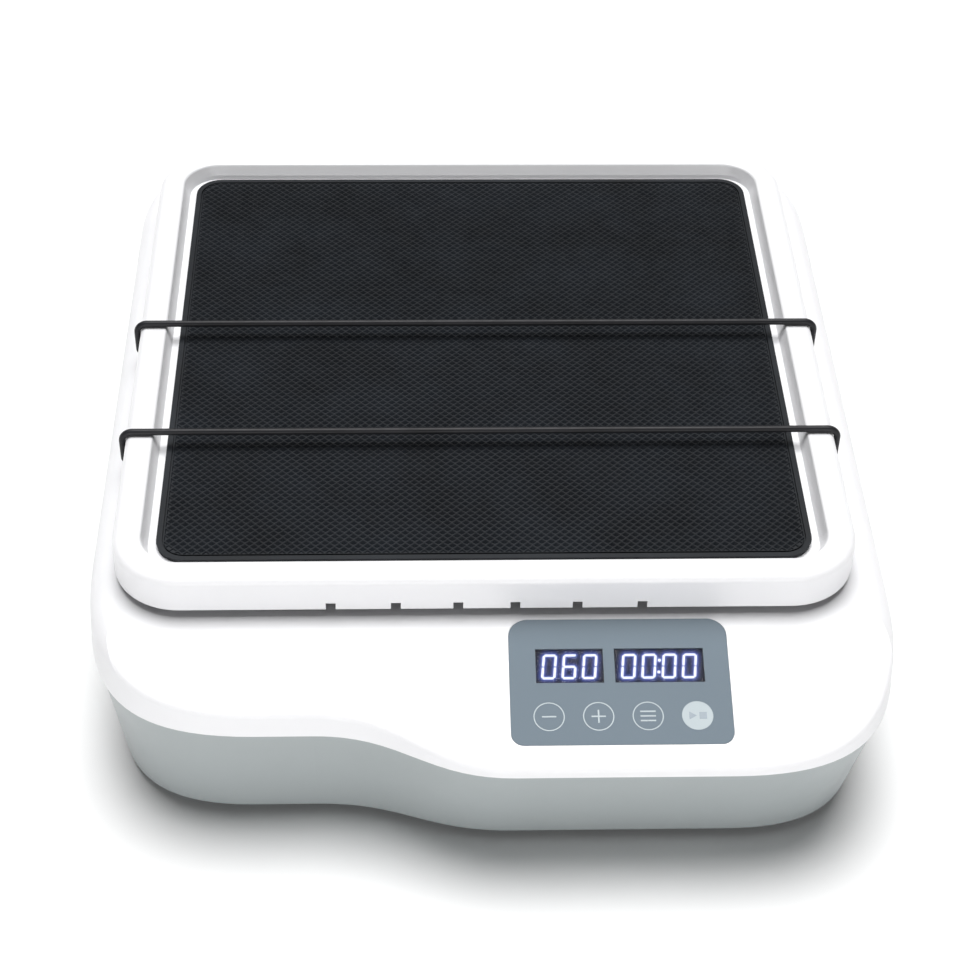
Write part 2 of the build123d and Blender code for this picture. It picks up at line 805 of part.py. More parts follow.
# Levels of the drive, from the deck downwards
disc_top = deck_under - guard_gap
disc_bottom = disc_top - crank_disc_thickness
weight_bottom = disc_bottom - counterweight_thickness
pulley_top = weight_bottom - stack_gap
pulley_bottom = pulley_top - pulley_width
bearing_tower_top = pulley_bottom - stack_gap
bracket_top = pulley_bottom - bracket_gap
lower_bearing = chassis_top + seat_gap
upper_bearing = bearing_tower_top - bearing_sink - main_bearing[2]
hub_bearing = tray_under - hub_lid - platform_bearing[2]
hub_bottom = hub_bearing - hub_lip
pin_top = tray_under - body_gap - seat_gap
idler_disc_bottom = disc_top - idler_arm_thickness
idler_tower_top = idler_disc_bottom - guard_gap
idler_upper_bearing = idler_tower_top - bearing_sink - idler_bearing[2]
idler_lower_bearing = idler_upper_bearing - idler_bearing_spacing - idler_bearing[2]

# Main bearing housing
with BuildPart() as main_bearing_housing:
    with BuildSketch(upright(0, drive_y)):
        with BuildLine():
            seat = main_bearing[1] + seat_gap
            shoulder = main_bearing[1] - bearing_lip
            wall = main_bearing[1] + tower_wall
            Polyline((seat, chassis_top), (tower_flange, chassis_top), (tower_flange, chassis_top + flange_thickness),
                     (wall + tower_foot, chassis_top + flange_thickness),
                     (wall, chassis_top + flange_thickness + tower_foot),
                     (wall, bearing_tower_top), (seat, bearing_tower_top), (seat, upper_bearing),
                     (shoulder, upper_bearing), (shoulder, lower_bearing + main_bearing[2] + seat_gap),
                     (seat, lower_bearing + main_bearing[2] + seat_gap), close=True)
        make_face()
    revolve(axis=Axis((0, drive_y, 0), (0, 0, 1)))
    with BuildSketch(at_drive(chassis_top)):
        with PolarLocations(tower_screw_ring, 4, start_angle=45):
            Circle(screw_radius + screw_clearance)
    extrude(amount=flange_thickness, mode=Mode.SUBTRACT)
save(main_bearing_housing.part, "main_bearing_housing")

with BuildPart() as main_bearing_outers:
    for level in (lower_bearing, upper_bearing):
        add(outer_ring(main_bearing, level).moved(Pos(0, drive_y, 0)))
save(main_bearing_outers.part, "main_bearing_outers")

with BuildPart() as crank_bearing_inners:
    for level in (lower_bearing, upper_bearing):
        add(inner_ring(main_bearing, level).moved(Pos(0, drive_y, 0)))
    add(inner_ring(platform_bearing, hub_bearing).moved(Pos(pin_x, drive_y + pin_y, 0)))
save(crank_bearing_inners.part, "crank_bearing_inners")

# Eccentric drive shaft: shaft, disc and offset pin in one piece
weight_screw_places = [(weight_screw_ring * cos(radians(180 + turn)), weight_screw_ring * sin(radians(180 + turn)))
                       for turn in (-weight_screw_spread, 0, weight_screw_spread)]
shaft_radius = main_bearing[0] - seat_gap
hub_pin_radius = platform_bearing[0] - seat_gap
lower_clip = lower_bearing - clip_thickness - seat_gap
pin_clip = hub_bearing + platform_bearing[2] + seat_gap
with BuildPart() as eccentric_shaft:
    with BuildSketch(at_drive(lower_clip - clip_land)):
        Circle(shaft_radius)
    extrude(amount=disc_bottom - lower_clip + clip_land)
    with BuildSketch(at_drive(disc_bottom)):
        Circle(crank_disc_radius)
    extrude(amount=crank_disc_thickness)
    with BuildSketch(at_pin(disc_top)):
        Circle(pin_shoulder_radius)
    extrude(amount=hub_bearing - disc_top)
    with BuildSketch(at_pin(hub_bearing)):
        Circle(hub_pin_radius)
    extrude(amount=pin_top - hub_bearing)
    # Grooves for the two retaining rings
    with BuildSketch(at_drive(lower_clip - seat_gap)):
        Circle(shaft_radius + 1)
        Circle(shaft_radius - groove_sink, mode=Mode.SUBTRACT)
    extrude(amount=clip_thickness + 2 * seat_gap, mode=Mode.SUBTRACT)
    with BuildSketch(at_pin(pin_clip - seat_gap)):
        Circle(hub_pin_radius + 1)
        Circle(hub_pin_radius - groove_sink, mode=Mode.SUBTRACT)
    extrude(amount=clip_thickness + 2 * seat_gap, mode=Mode.SUBTRACT)
    # Counterbored holes for the counterweight screws
    with BuildSketch(along_pin(disc_bottom)):
        with Locations(*weight_screw_places):
            Circle(screw_radius + screw_clearance)
    extrude(amount=crank_disc_thickness, mode=Mode.SUBTRACT)
    with BuildSketch(along_pin(disc_top - screw_head_height)):
        with Locations(*weight_screw_places):
            Circle(screw_head_radius + screw_clearance)
    extrude(amount=screw_head_height + 1, mode=Mode.SUBTRACT)
save(eccentric_shaft.part, "eccentric_shaft")


# Parts on the drive shaft
with BuildPart() as bearing_spacer:
    with BuildSketch(at_drive(lower_bearing + main_bearing[2])):
        Circle(main_bearing[0] + spacer_wall)
        Circle(main_bearing[0], mode=Mode.SUBTRACT)
    extrude(amount=upper_bearing - lower_bearing - main_bearing[2])
save(bearing_spacer.part, "bearing_spacer")

with BuildPart() as shaft_clips:
    add(shaft_clip(shaft_radius, lower_clip).moved(Pos(0, drive_y, 0)))
    add(shaft_clip(hub_pin_radius, pin_clip).moved(Pos(pin_x, drive_y + pin_y, 0)))
save(shaft_clips.part, "shaft_clips")

pulley_middle = (pulley_bottom + pulley_top) / 2
groove_levels = [pulley_middle + (step - (groove_count - 1) / 2) * groove_pitch for step in range(groove_count)]


def groove_points(radius):
    """Points of the belt grooves in a pulley's rim, from the lowest groove up."""
    points = []
    for level in groove_levels:
        points.append((radius, level - groove_half_width))
        points.append((radius - groove_depth, level - groove_floor))
        points.append((radius - groove_depth, level + groove_floor))
        points.append((radius, level + groove_half_width))
    return points


with BuildPart() as driven_pulley:
    with BuildSketch(upright(0, drive_y)):
        with BuildLine():
            rim_inside = drive_pulley_radius - pulley_rim
            Polyline((main_bearing[0], upper_bearing + main_bearing[2]),
                     (pulley_step_radius, upper_bearing + main_bearing[2]), (pulley_step_radius, pulley_bottom),
                     (pulley_hub_radius, pulley_bottom), (pulley_hub_radius, pulley_middle - pulley_web / 2),
                     (rim_inside, pulley_middle - pulley_web / 2), (rim_inside, pulley_bottom),
                     (drive_pulley_radius, pulley_bottom), *groove_points(drive_pulley_radius),
                     (drive_pulley_radius, pulley_top), (rim_inside, pulley_top),
                     (rim_inside, pulley_middle + pulley_web / 2), (pulley_hub_radius, pulley_middle + pulley_web / 2),
                     (pulley_hub_radius, weight_bottom), (main_bearing[0], weight_bottom), close=True)
        make_face()
    revolve(axis=Axis((0, drive_y, 0), (0, 0, 1)))
    with BuildSketch(at_drive(pulley_bottom)):
        with PolarLocations(pulley_hole_ring, 6):
            Circle(pulley_hole_radius)
    extrude(amount=pulley_width, mode=Mode.SUBTRACT)
save(driven_pulley.part, "driven_pulley")

with BuildPart() as counterweight:
    with BuildSketch(along_pin(weight_bottom)) as weight_outline:
        Circle(counterweight_radius)
        with Locations((counterweight_radius, 0)):
            Rectangle(2 * counterweight_radius, 2 * counterweight_radius, mode=Mode.SUBTRACT)
        fillet(weight_outline.vertices(), radius=weight_corner)
        Circle(weight_hub_radius)
        Circle(main_bearing[0], mode=Mode.SUBTRACT)
        with Locations(*weight_screw_places):
            Circle(screw_radius + seat_gap, mode=Mode.SUBTRACT)
    extrude(amount=counterweight_thickness)
save(counterweight.part, "counterweight")
save(group(cap_screw(disc_top - screw_head_height - weight_bottom), weight_screw_places,
           along_pin(disc_top - screw_head_height)), "counterweight_screws")

# Motor, its bracket, pulley and belt
motor_top = bracket_top - bracket_thickness
motor_bottom = floor_top + motor_floor_gap
motor_length = motor_top - motor_bottom
motor_screw_places = [(-motor_reach + motor_screw_ring * x, motor_screw_ring * y) for x, y in quarter_turn]
with BuildPart() as motor:
    with BuildSketch(at_drive(motor_bottom)):
        with Locations((-motor_reach, 0)):
            Circle(motor_radius)
    extrude(amount=motor_length)
    chamfer(motor.edges().filter_by(GeomType.CIRCLE), length=motor_edge)
    with BuildSketch(at_drive(motor_top)):
        with Locations((-motor_reach, 0)):
            Circle(motor_boss_radius)
    extrude(amount=motor_boss_height)
    with BuildSketch(at_drive(motor_bottom)):
        with Locations((-motor_reach, 0)):
            Circle(motor_shaft_radius + running_gap)
    extrude(amount=motor_length + motor_boss_height, mode=Mode.SUBTRACT)
    with BuildSketch(at_drive(motor_top)):
        with Locations(*motor_screw_places):
            Circle(screw_radius + seat_gap)
    extrude(amount=-bracket_thickness - 1, mode=Mode.SUBTRACT)
save(motor.part, "motor")

with BuildPart() as motor_bracket:
    with BuildSketch(Plane(origin=(-motor_reach - bracket_length / 2, drive_y, 0), x_dir=(0, 1, 0), z_dir=(1, 0, 0))):
        with BuildLine():
            side = bracket_half_width
            foot_end = side + bracket_foot
            Polyline((-foot_end, chassis_top), (-side + bracket_thickness, chassis_top),
                     (-side + bracket_thickness, motor_top), (side - bracket_thickness, motor_top),
                     (side - bracket_thickness, chassis_top), (foot_end, chassis_top),
                     (foot_end, chassis_top + bracket_thickness), (side, chassis_top + bracket_thickness),
                     (side, bracket_top), (-side, bracket_top), (-side, chassis_top + bracket_thickness),
                     (-foot_end, chassis_top + bracket_thickness), close=True)
        make_face()
    extrude(amount=bracket_length)
    with BuildSketch(at_drive(motor_top)):
        with Locations((-motor_reach, 0)):
            Circle(motor_boss_radius + seat_gap)
        with Locations(*motor_screw_places):
            Circle(screw_radius + screw_clearance)
    extrude(amount=bracket_thickness, mode=Mode.SUBTRACT)
    with BuildSketch(at_drive(chassis_top)):
        with Locations(*bracket_screw_places):
            Circle(screw_radius + screw_clearance)
    extrude(amount=bracket_thickness, mode=Mode.SUBTRACT)
save(motor_bracket.part, "motor_bracket")
motor_screw = cap_screw(bracket_thickness + bracket_thickness, head_radius=motor_screw_head[0],
                        head_height=motor_screw_head[1])
save(group(motor_screw, motor_screw_places, at_drive(bracket_top)), "motor_screws")

with BuildPart() as motor_shaft:
    with BuildSketch(at_drive(motor_bottom + motor_shaft_end)):
        with Locations((-motor_reach, 0)):
            Circle(motor_shaft_radius)
    extrude(amount=pulley_top + flange_width - motor_bottom - motor_shaft_end)
save(motor_shaft.part, "motor_shaft")

with BuildPart() as motor_pulley:
    with BuildSketch(upright(-motor_reach, drive_y)):
        with BuildLine():
            bore = motor_shaft_radius + seat_gap
            flange = motor_pulley_radius + flange_rise
            Polyline((bore, pulley_bottom - flange_width), (flange, pulley_bottom - flange_width),
                     (flange, pulley_bottom), (motor_pulley_radius, pulley_bottom),
                     *groove_points(motor_pulley_radius), (motor_pulley_radius, pulley_top), (flange, pulley_top),
                     (flange, pulley_top + flange_width), (bore, pulley_top + flange_width), close=True)
        make_face()
    revolve(axis=Axis((-motor_reach, drive_y, 0), (0, 0, 1)))
save(motor_pulley.part, "motor_pulley")

belt_big = drive_pulley_radius + body_gap
belt_small = motor_pulley_radius + body_gap
normal_x = -(belt_big - belt_small) / motor_reach
normal_y = sqrt(1 - normal_x ** 2)
with BuildPart() as drive_belt:
    with BuildLine(at_drive(pulley_middle)) as belt_path:
        far_start = (belt_big * normal_x, belt_big * normal_y)
        far_end = (-motor_reach + belt_small * normal_x, belt_small * normal_y)
        near_start = (-motor_reach + belt_small * normal_x, -belt_small * normal_y)
        near_end = (belt_big * normal_x, -belt_big * normal_y)
        Line(far_start, far_end)
        ThreePointArc(far_end, (-motor_reach - belt_small, 0), near_start)
        Line(near_start, near_end)
        ThreePointArc(near_end, (belt_big, 0), far_start)
    with BuildSketch(Plane(origin=(far_start[0], drive_y + far_start[1], pulley_middle),
                           x_dir=(normal_x, normal_y, 0), z_dir=(-normal_y, normal_x, 0))):
        with BuildLine():
            half = pulley_width / 2 - belt_side_margin
            ribs = []
            for level in groove_levels:
                middle = level - pulley_middle
                ribs.append((0, middle - belt_rib_half_width))
                ribs.append((-belt_rib_height, middle - belt_rib_tip))
                ribs.append((-belt_rib_height, middle + belt_rib_tip))
                ribs.append((0, middle + belt_rib_half_width))
            Polyline((belt_thickness, -half), (0, -half), *ribs, (0, half), (belt_thickness, half), close=True)
        make_face()
    sweep(path=belt_path.wires()[0])
save(drive_belt.part, "drive_belt")

# Idler bearing housings, their bearings and cranks
with BuildPart() as idler_housing:
    with BuildSketch(upright(0, 0)):
        with BuildLine():
            seat = idler_bearing[1] + seat_gap
            lip = idler_bearing[1] - idler_lip
            wall = idler_bearing[1] + idler_wall
            ledge = idler_lower_bearing + idler_bearing[2] + seat_gap
            Polyline((seat, chassis_top), (idler_flange, chassis_top), (idler_flange, chassis_top + flange_thickness),
                     (wall + tower_foot, chassis_top + flange_thickness),
                     (wall, chassis_top + flange_thickness + tower_foot),
                     (wall, idler_tower_top), (seat, idler_tower_top), (seat, idler_upper_bearing),
                     (lip, idler_upper_bearing), (lip, ledge), (seat, ledge), close=True)
        make_face()
    revolve(axis=Axis.Z)
    with BuildSketch(Plane.XY.offset(chassis_top)):
        with PolarLocations(idler_screw_ring, 4, start_angle=45):
            Circle(screw_radius + screw_clearance)
    extrude(amount=flange_thickness, mode=Mode.SUBTRACT)
save(group(idler_housing.part, idler_places, at_drive(0)), "idler_housings")

with BuildPart() as idler_outers:
    for x, y in idler_places:
        for level in (idler_lower_bearing, idler_upper_bearing):
            add(outer_ring(idler_bearing, level).moved(Pos(x, drive_y + y, 0)))
save(idler_outers.part, "idler_bearing_outers")

idler_shaft_radius = idler_bearing[0] - seat_gap
idler_clip = idler_lower_bearing - clip_thickness - seat_gap
for number, (x, y) in enumerate(idler_places, start=1):
    with BuildPart() as idler_crank:
        with BuildSketch(Plane(origin=(x, drive_y + y, idler_clip - clip_land))):
            Circle(idler_shaft_radius)
        extrude(amount=idler_disc_bottom - idler_clip + clip_land)
        with BuildSketch(Plane(origin=(x, drive_y + y, idler_upper_bearing + idler_bearing[2]))):
            Circle(idler_shoulder_radius)
        extrude(amount=idler_disc_bottom - idler_upper_bearing - idler_bearing[2])
        with BuildSketch(Plane(origin=(x, drive_y + y, idler_disc_bottom))):
            Circle(idler_arm_radius)
            with Locations((pin_x, pin_y)):
                Circle(idler_pin_arm_radius)
            make_hull()
        extrude(amount=idler_arm_thickness)
        with BuildSketch(Plane(origin=(x + pin_x, drive_y + y + pin_y, disc_top))):
            Circle(idler_shaft_radius)
        extrude(amount=pin_top - disc_top)
        chamfer(idler_crank.faces().sort_by(Axis.Z)[-1].edges(), length=pin_chamfer)
        with BuildSketch(Plane(origin=(x, drive_y + y, idler_clip - seat_gap))):
            Circle(idler_shaft_radius + 1)
            Circle(idler_shaft_radius - groove_sink, mode=Mode.SUBTRACT)
        extrude(amount=clip_thickness + 2 * seat_gap, mode=Mode.SUBTRACT)
    save(idler_crank.part, f"idler_crank_{number}")

    with BuildPart() as idler_rings:
        for level in (idler_lower_bearing, idler_upper_bearing):
            add(inner_ring(idler_bearing, level).moved(Pos(x, drive_y + y, 0)))
        add(shaft_clip(idler_shaft_radius, idler_clip).moved(Pos(x, drive_y + y, 0)))
    save(idler_rings.part, f"idler_rings_{number}")

# Carrier under the tray, with the hub for the offset pin
tray_screw_reach = tray_screw_share * carrier_half_width
tray_screw_places = [(sx * tray_screw_reach, sy * tray_screw_reach) for sy in (-1, 1) for sx in (-1, 1)]
with BuildPart() as carrier:
    with BuildSketch(at_pin(tray_under - carrier_thickness)) as carrier_outline:
        Rectangle(2 * carrier_half_width, 2 * carrier_half_width)
        fillet(carrier_outline.vertices(), radius=carrier_corner)
        for share in carrier_ring_shares:
            with PolarLocations(share * carrier_half_width, 4):
                Circle(carrier_hole_share * carrier_half_width, mode=Mode.SUBTRACT)
    extrude(amount=carrier_thickness)
    with BuildSketch(at_pin(tray_under - carrier_thickness)):
        Rectangle(2 * sqrt(2) * idler_spread, carrier_rib_width, rotation=45)
        Rectangle(2 * sqrt(2) * idler_spread, carrier_rib_width, rotation=-45)
    extrude(amount=-carrier_rib_height)
    with BuildSketch(at_pin(tray_under)):
        Circle(hub_radius)
    extrude(amount=hub_bottom - tray_under)
    with BuildSketch(at_pin(tray_under)):
        with Locations(*idler_places):
            Circle(bush_boss_radius)
    extrude(amount=-carrier_thickness - bush_boss_drop)
    # Seats for the bearing and the bushes, groove of the bearing's clip
    with BuildSketch(at_pin(hub_bearing)):
        Circle(platform_bearing[1] + seat_gap)
    extrude(amount=tray_under - hub_bearing, mode=Mode.SUBTRACT)
    with BuildSketch(at_pin(hub_bottom)):
        Circle(platform_bearing[1] - hub_lip_reach)
    extrude(amount=hub_lip, mode=Mode.SUBTRACT)
    with BuildSketch(at_pin(pin_clip - seat_gap)):
        Circle(platform_bearing[1] + groove_sink)
    extrude(amount=clip_thickness + 2 * seat_gap, mode=Mode.SUBTRACT)
    with BuildSketch(at_pin(tray_under)):
        with Locations(*idler_places):
            Circle(idler_shaft_radius + pin_gap + bushing_wall + seat_gap)
    extrude(amount=-carrier_thickness - bush_boss_drop, mode=Mode.SUBTRACT)
    with BuildSketch(at_pin(tray_under)):
        with Locations(*tray_screw_places):
            Circle(screw_radius + seat_gap)
    extrude(amount=-carrier_thickness - 0.5, mode=Mode.SUBTRACT)
save(carrier.part, "carrier")
save(outer_ring(platform_bearing, hub_bearing).moved(Pos(pin_x, drive_y + pin_y, 0)), "hub_bearing_outer")

with BuildPart() as hub_clip:
    with BuildSketch(at_pin(pin_clip)):
        Circle(platform_bearing[1] + groove_sink - seat_gap)
        Circle(platform_bearing[1] - hub_clip_reach, mode=Mode.SUBTRACT)
        with Locations((platform_bearing[1], 0)):
            Rectangle(4 * hub_clip_reach, clip_opening, mode=Mode.SUBTRACT)
    extrude(amount=clip_thickness)
save(hub_clip.part, "hub_clip")

with BuildPart() as pin_bushes:
    with BuildSketch(at_pin(tray_under)):
        with Locations(*idler_places):
            Circle(idler_shaft_radius + pin_gap + bushing_wall)
            Circle(idler_shaft_radius + pin_gap, mode=Mode.SUBTRACT)
    extrude(amount=-carrier_thickness - bush_boss_drop)
save(pin_bushes.part, "pin_bushes")

# Tray
with BuildPart() as tray:
    with BuildSketch(at_pin(skirt_bottom)):
        RectangleRounded(tray_width, tray_width, tray_corner)
    extrude(amount=rim_top - skirt_bottom)
    fillet(tray.faces().sort_by(Axis.Z)[-1].edges(), radius=rim_edge_radius)
    with BuildSketch(at_pin(tray_floor_top)):
        RectangleRounded(2 * tray_floor_half, 2 * tray_floor_half, tray_floor_corner)
    with BuildSketch(at_pin(rim_top)):
        rim_half = tray_width / 2 - rim_width
        RectangleRounded(2 * rim_half, 2 * rim_half, tray_floor_corner + rim_slope_run)
    loft(ruled=True, mode=Mode.SUBTRACT)
    rim_edges = tray.edges().filter_by(lambda edge: abs(edge.center().Z - rim_top) < 0.01)
    fillet(rim_edges.filter_by(lambda edge: edge.center().X ** 2 < rim_half ** 2 + 1), radius=rim_inner_radius)
    # Hollow under the floor and under the rim
    with BuildSketch(at_pin(skirt_bottom)):
        inside = tray_width - 2 * tray_wall
        RectangleRounded(inside, inside, tray_corner - tray_wall)
    extrude(amount=skirt_drop, mode=Mode.SUBTRACT)
    with BuildSketch(at_pin(tray_under)):
        channel = 2 * (rim_half + channel_wall)
        RectangleRounded(inside, inside, tray_corner - tray_wall)
        RectangleRounded(channel, channel, tray_floor_corner + rim_slope_run + channel_wall, mode=Mode.SUBTRACT)
    extrude(amount=rim_top - tray_wall - tray_under, mode=Mode.SUBTRACT)
    # Notches for the cords through the skirt
    for z_dir, x_dir in (((0, -1, 0), (1, 0, 0)), ((1, 0, 0), (0, 1, 0))):
        with BuildSketch(Plane(origin=(pin_x, drive_y + pin_y, skirt_bottom), x_dir=x_dir, z_dir=z_dir)):
            with Locations(*[(place, 0) for place in notch_places]):
                Rectangle(notch_width, 2 * notch_height)
        extrude(amount=tray_width, both=True, mode=Mode.SUBTRACT)
    # Short ribs between the skirt and the floor
    with BuildSketch(at_pin(tray_under)):
        for sign in (-1, 1):
            for side in (-1, 1):
                with Locations((sign * tray_rib_place, side * (inside - tray_rib_length) / 2)):
                    Rectangle(tray_rib_wall, tray_rib_length)
                with Locations((side * (inside - tray_rib_length) / 2, sign * tray_rib_place)):
                    Rectangle(tray_rib_length, tray_rib_wall)
    extrude(amount=-tray_rib_drop)
    with Locations(at_pin(tray_floor_top)):
        with Locations(*tray_screw_places):
            CounterSinkHole(screw_radius + screw_clearance, tray_screw_head + screw_clearance, depth=2 * tray_floor)
save(tray.part, "tray")

with BuildPart() as tray_screw:
    with BuildSketch(upright(0, 0)):
        with BuildLine():
            Polyline((0, 0), (tray_screw_head, 0), (screw_radius, screw_radius - tray_screw_head),
                     (screw_radius, -tray_floor - carrier_thickness), (0, -tray_floor - carrier_thickness), close=True)
        make_face()
    revolve(axis=Axis.Z)
    with BuildSketch():
        RegularPolygon(screw_radius * 0.7, 6)
    extrude(amount=-screw_radius, mode=Mode.SUBTRACT)
save(group(tray_screw.part, tray_screw_places, at_pin(tray_floor_top)), "tray_screws")

with BuildPart() as mat:
    with BuildSketch(at_pin(tray_floor_top)):
        RectangleRounded(mat_width, mat_width, mat_corner)
    extrude(amount=mat_thickness)
save(mat.part, "mat")

# Elastic cords across the rim, with their end knobs inside the skirt
cord_radius = cord_diameter / 2
cord_low = skirt_bottom + notch_height - cord_gap - cord_radius
cord_out = tray_width / 2 + cord_gap + cord_radius
cord_top = rim_top + cord_gap + cord_radius
cord_over = rim_edge_radius + cord_gap + cord_radius
cord_bend = cord_gap + cord_radius
knob_inner = tray_width / 2 - tray_wall - knob_length


def quarter(start, centre, end):
    """Quarter circle of a cord's run in the upright plane."""
    middle = (centre[0] + (start[0] + end[0] - 2 * centre[0]) / sqrt(2),
              centre[1] + (start[1] + end[1] - 2 * centre[1]) / sqrt(2))
    ThreePointArc(start, middle, end)


def draw_cord():
    """Draws one cord's centre line from knob to knob into the open line."""
    start = knob_inner + knob_end_wall
    bend = cord_out - cord_bend
    over = cord_out - cord_over
    Line((-start, cord_low), (-bend, cord_low))
    quarter((-bend, cord_low), (-bend, cord_low + cord_bend), (-cord_out, cord_low + cord_bend))
    Line((-cord_out, cord_low + cord_bend), (-cord_out, cord_top - cord_over))
    quarter((-cord_out, cord_top - cord_over), (-over, cord_top - cord_over), (-over, cord_top))
    Line((-over, cord_top), (over, cord_top))
    quarter((over, cord_top), (over, cord_top - cord_over), (cord_out, cord_top - cord_over))
    Line((cord_out, cord_top - cord_over), (cord_out, cord_low + cord_bend))
    quarter((cord_out, cord_low + cord_bend), (bend, cord_low + cord_bend), (bend, cord_low))
    Line((bend, cord_low), (start, cord_low))


for label, notch in (("rear_cord", rear_cord_notch), ("front_cord", front_cord_notch)):
    cord_y = drive_y + pin_y + notch_places[notch]
    with BuildPart() as cord:
        with BuildLine(upright(pin_x, cord_y)) as cord_path:
            draw_cord()
        with BuildSketch(Plane(origin=cord_path.line @ 0, z_dir=(-1, 0, 0))):
            Circle(cord_radius)
        sweep(path=cord_path.wires()[0])
    save(cord.part, label)

with BuildPart() as cord_knobs:
    for notch in (rear_cord_notch, front_cord_notch):
        for side in (-1, 1):
            start = (pin_x + side * knob_inner, drive_y + pin_y + notch_places[notch], cord_low)
            with BuildSketch(Plane(origin=start, z_dir=(side, 0, 0))):
                Circle(knob_radius)
            extrude(amount=knob_length)
            with BuildSketch(Plane(origin=start, z_dir=(side, 0, 0)).offset(knob_end_wall - seat_gap)):
                Circle(cord_radius + seat_gap)
            extrude(amount=knob_length, mode=Mode.SUBTRACT)
save(cord_knobs.part, "cord_knobs")

# Control board on the floor and its parts
board_bottom = floor_top + board_boss_height
board_top = board_bottom + board_thickness


def on_board(height):
    """Horizontal plane at a height above the control board's upper face."""
    return Plane(origin=(board_centre[0], drive_y + board_centre[1], board_top + height))


with BuildPart() as control_board:
    with BuildSketch(on_board(-board_thickness)) as board_outline:
        Rectangle(board_size[0], board_size[1])
        fillet(board_outline.vertices(), radius=board_edge_radius)
        with GridLocations(board_size[0] - 2 * board_boss_inset, board_size[1] - 2 * board_boss_inset, 2, 2):
            Circle(screw_radius + screw_clearance, mode=Mode.SUBTRACT)
    extrude(amount=board_thickness)
save(control_board.part, "control_board")
save(group(cap_screw(board_thickness + board_boss_height - 1), board_boss_places, at_drive(board_top)),
     "board_screws")

with BuildPart() as board_capacitors:
    with BuildSketch(on_board(0)):
        with Locations(*capacitor_places):
            Circle(capacitor_radius)
    extrude(amount=capacitor_height)
    chamfer(board_capacitors.faces().filter_by(Axis.Z).group_by(Axis.Z)[-1].edges(), length=capacitor_edge)
save(board_capacitors.part, "board_capacitors")

with BuildPart() as board_connectors:
    with BuildSketch(on_board(0)):
        with Locations(*connector_places):
            Rectangle(connector_size[0], connector_size[1])
    extrude(amount=connector_size[2])
    with BuildSketch(on_board(connector_size[2])):
        with Locations(*connector_places):
            Rectangle(connector_size[0] - 2 * connector_wall, connector_size[1] - 2 * connector_wall)
    extrude(amount=-connector_size[2] + 2 * connector_wall, mode=Mode.SUBTRACT)
save(board_connectors.part, "board_connectors")

with BuildPart() as heat_sink:
    with BuildSketch(on_board(0)):
        with Locations(sink_place):
            Rectangle(sink_size[0], sink_size[1])
    extrude(amount=sink_size[2])
    with BuildSketch(on_board(sink_base)):
        with Locations(sink_place):
            pitch = (sink_size[0] - sink_fin) / (sink_fin_count - 1)
            with GridLocations(pitch, 1, sink_fin_count - 1, 1):
                Rectangle(pitch - sink_fin, sink_size[1])
    extrude(amount=sink_size[2], mode=Mode.SUBTRACT)
save(heat_sink.part, "heat_sink")

with BuildPart() as board_chips:
    with BuildSketch(on_board(0)):
        for x, y, length, width in chip_places:
            with Locations((x, y)):
                Rectangle(length, width)
    extrude(amount=chip_height)
save(board_chips.part, "board_chips")

# Display board, modules, touch pads, windows and overlay of the control panel
with BuildPart() as display_board:
    with BuildSketch(on_apron(board_depth)) as display_outline:
        Rectangle(display_board_size[0], display_board_size[1])
        fillet(display_outline.vertices(), radius=board_edge_radius)
        with Locations(*display_boss_places):
            Circle(display_screw_radius + screw_clearance, mode=Mode.SUBTRACT)
    extrude(amount=-board_thickness)
save(display_board.part, "display_board")
display_screw = cap_screw(board_thickness + display_screw_grip, head_radius=display_screw_head[0],
                          head_height=display_screw_head[1], radius=display_screw_radius)
save(group(display_screw.rotate(Axis.X, 180), display_boss_places, on_apron(board_depth + board_thickness)),
     "display_screws")

with BuildPart() as display_modules:
    with BuildSketch(on_apron(board_depth)):
        for x, y, width in window_places:
            with Locations((x, y)):
                Rectangle(width + 2 * module_margin, window_height + 2 * module_margin)
    extrude(amount=display_depth - display_cover_gap)
save(display_modules.part, "display_modules")

with BuildPart() as touch_pads:
    with BuildSketch(on_apron(board_depth)):
        with Locations(*key_places):
            Circle(pad_radius)
    extrude(amount=display_depth - display_cover_gap)
save(touch_pads.part, "touch_pads")

with BuildPart() as panel_overlay:
    with BuildSketch(on_apron(panel_thickness)) as overlay_outline:
        Rectangle(panel_width, panel_length)
        fillet(overlay_outline.vertices().sort_by(Axis.Y)[-2:], radius=panel_top_corner)
        fillet(overlay_outline.vertices().sort_by(Axis.Y)[:2], radius=panel_bottom_corner)
        for x, y, width in window_places:
            with Locations((x, y)):
                Rectangle(width, window_height, mode=Mode.SUBTRACT)
    extrude(amount=panel_thickness)
save(panel_overlay.part, "panel_overlay")

with BuildPart() as display_windows:
    with BuildSketch(on_apron(panel_thickness)):
        for x, y, width in window_places:
            with Locations((x, y)):
                Rectangle(width - 2 * seat_gap, window_height - 2 * seat_gap)
    extrude(amount=panel_thickness)
save(display_windows.part, "display_windows")

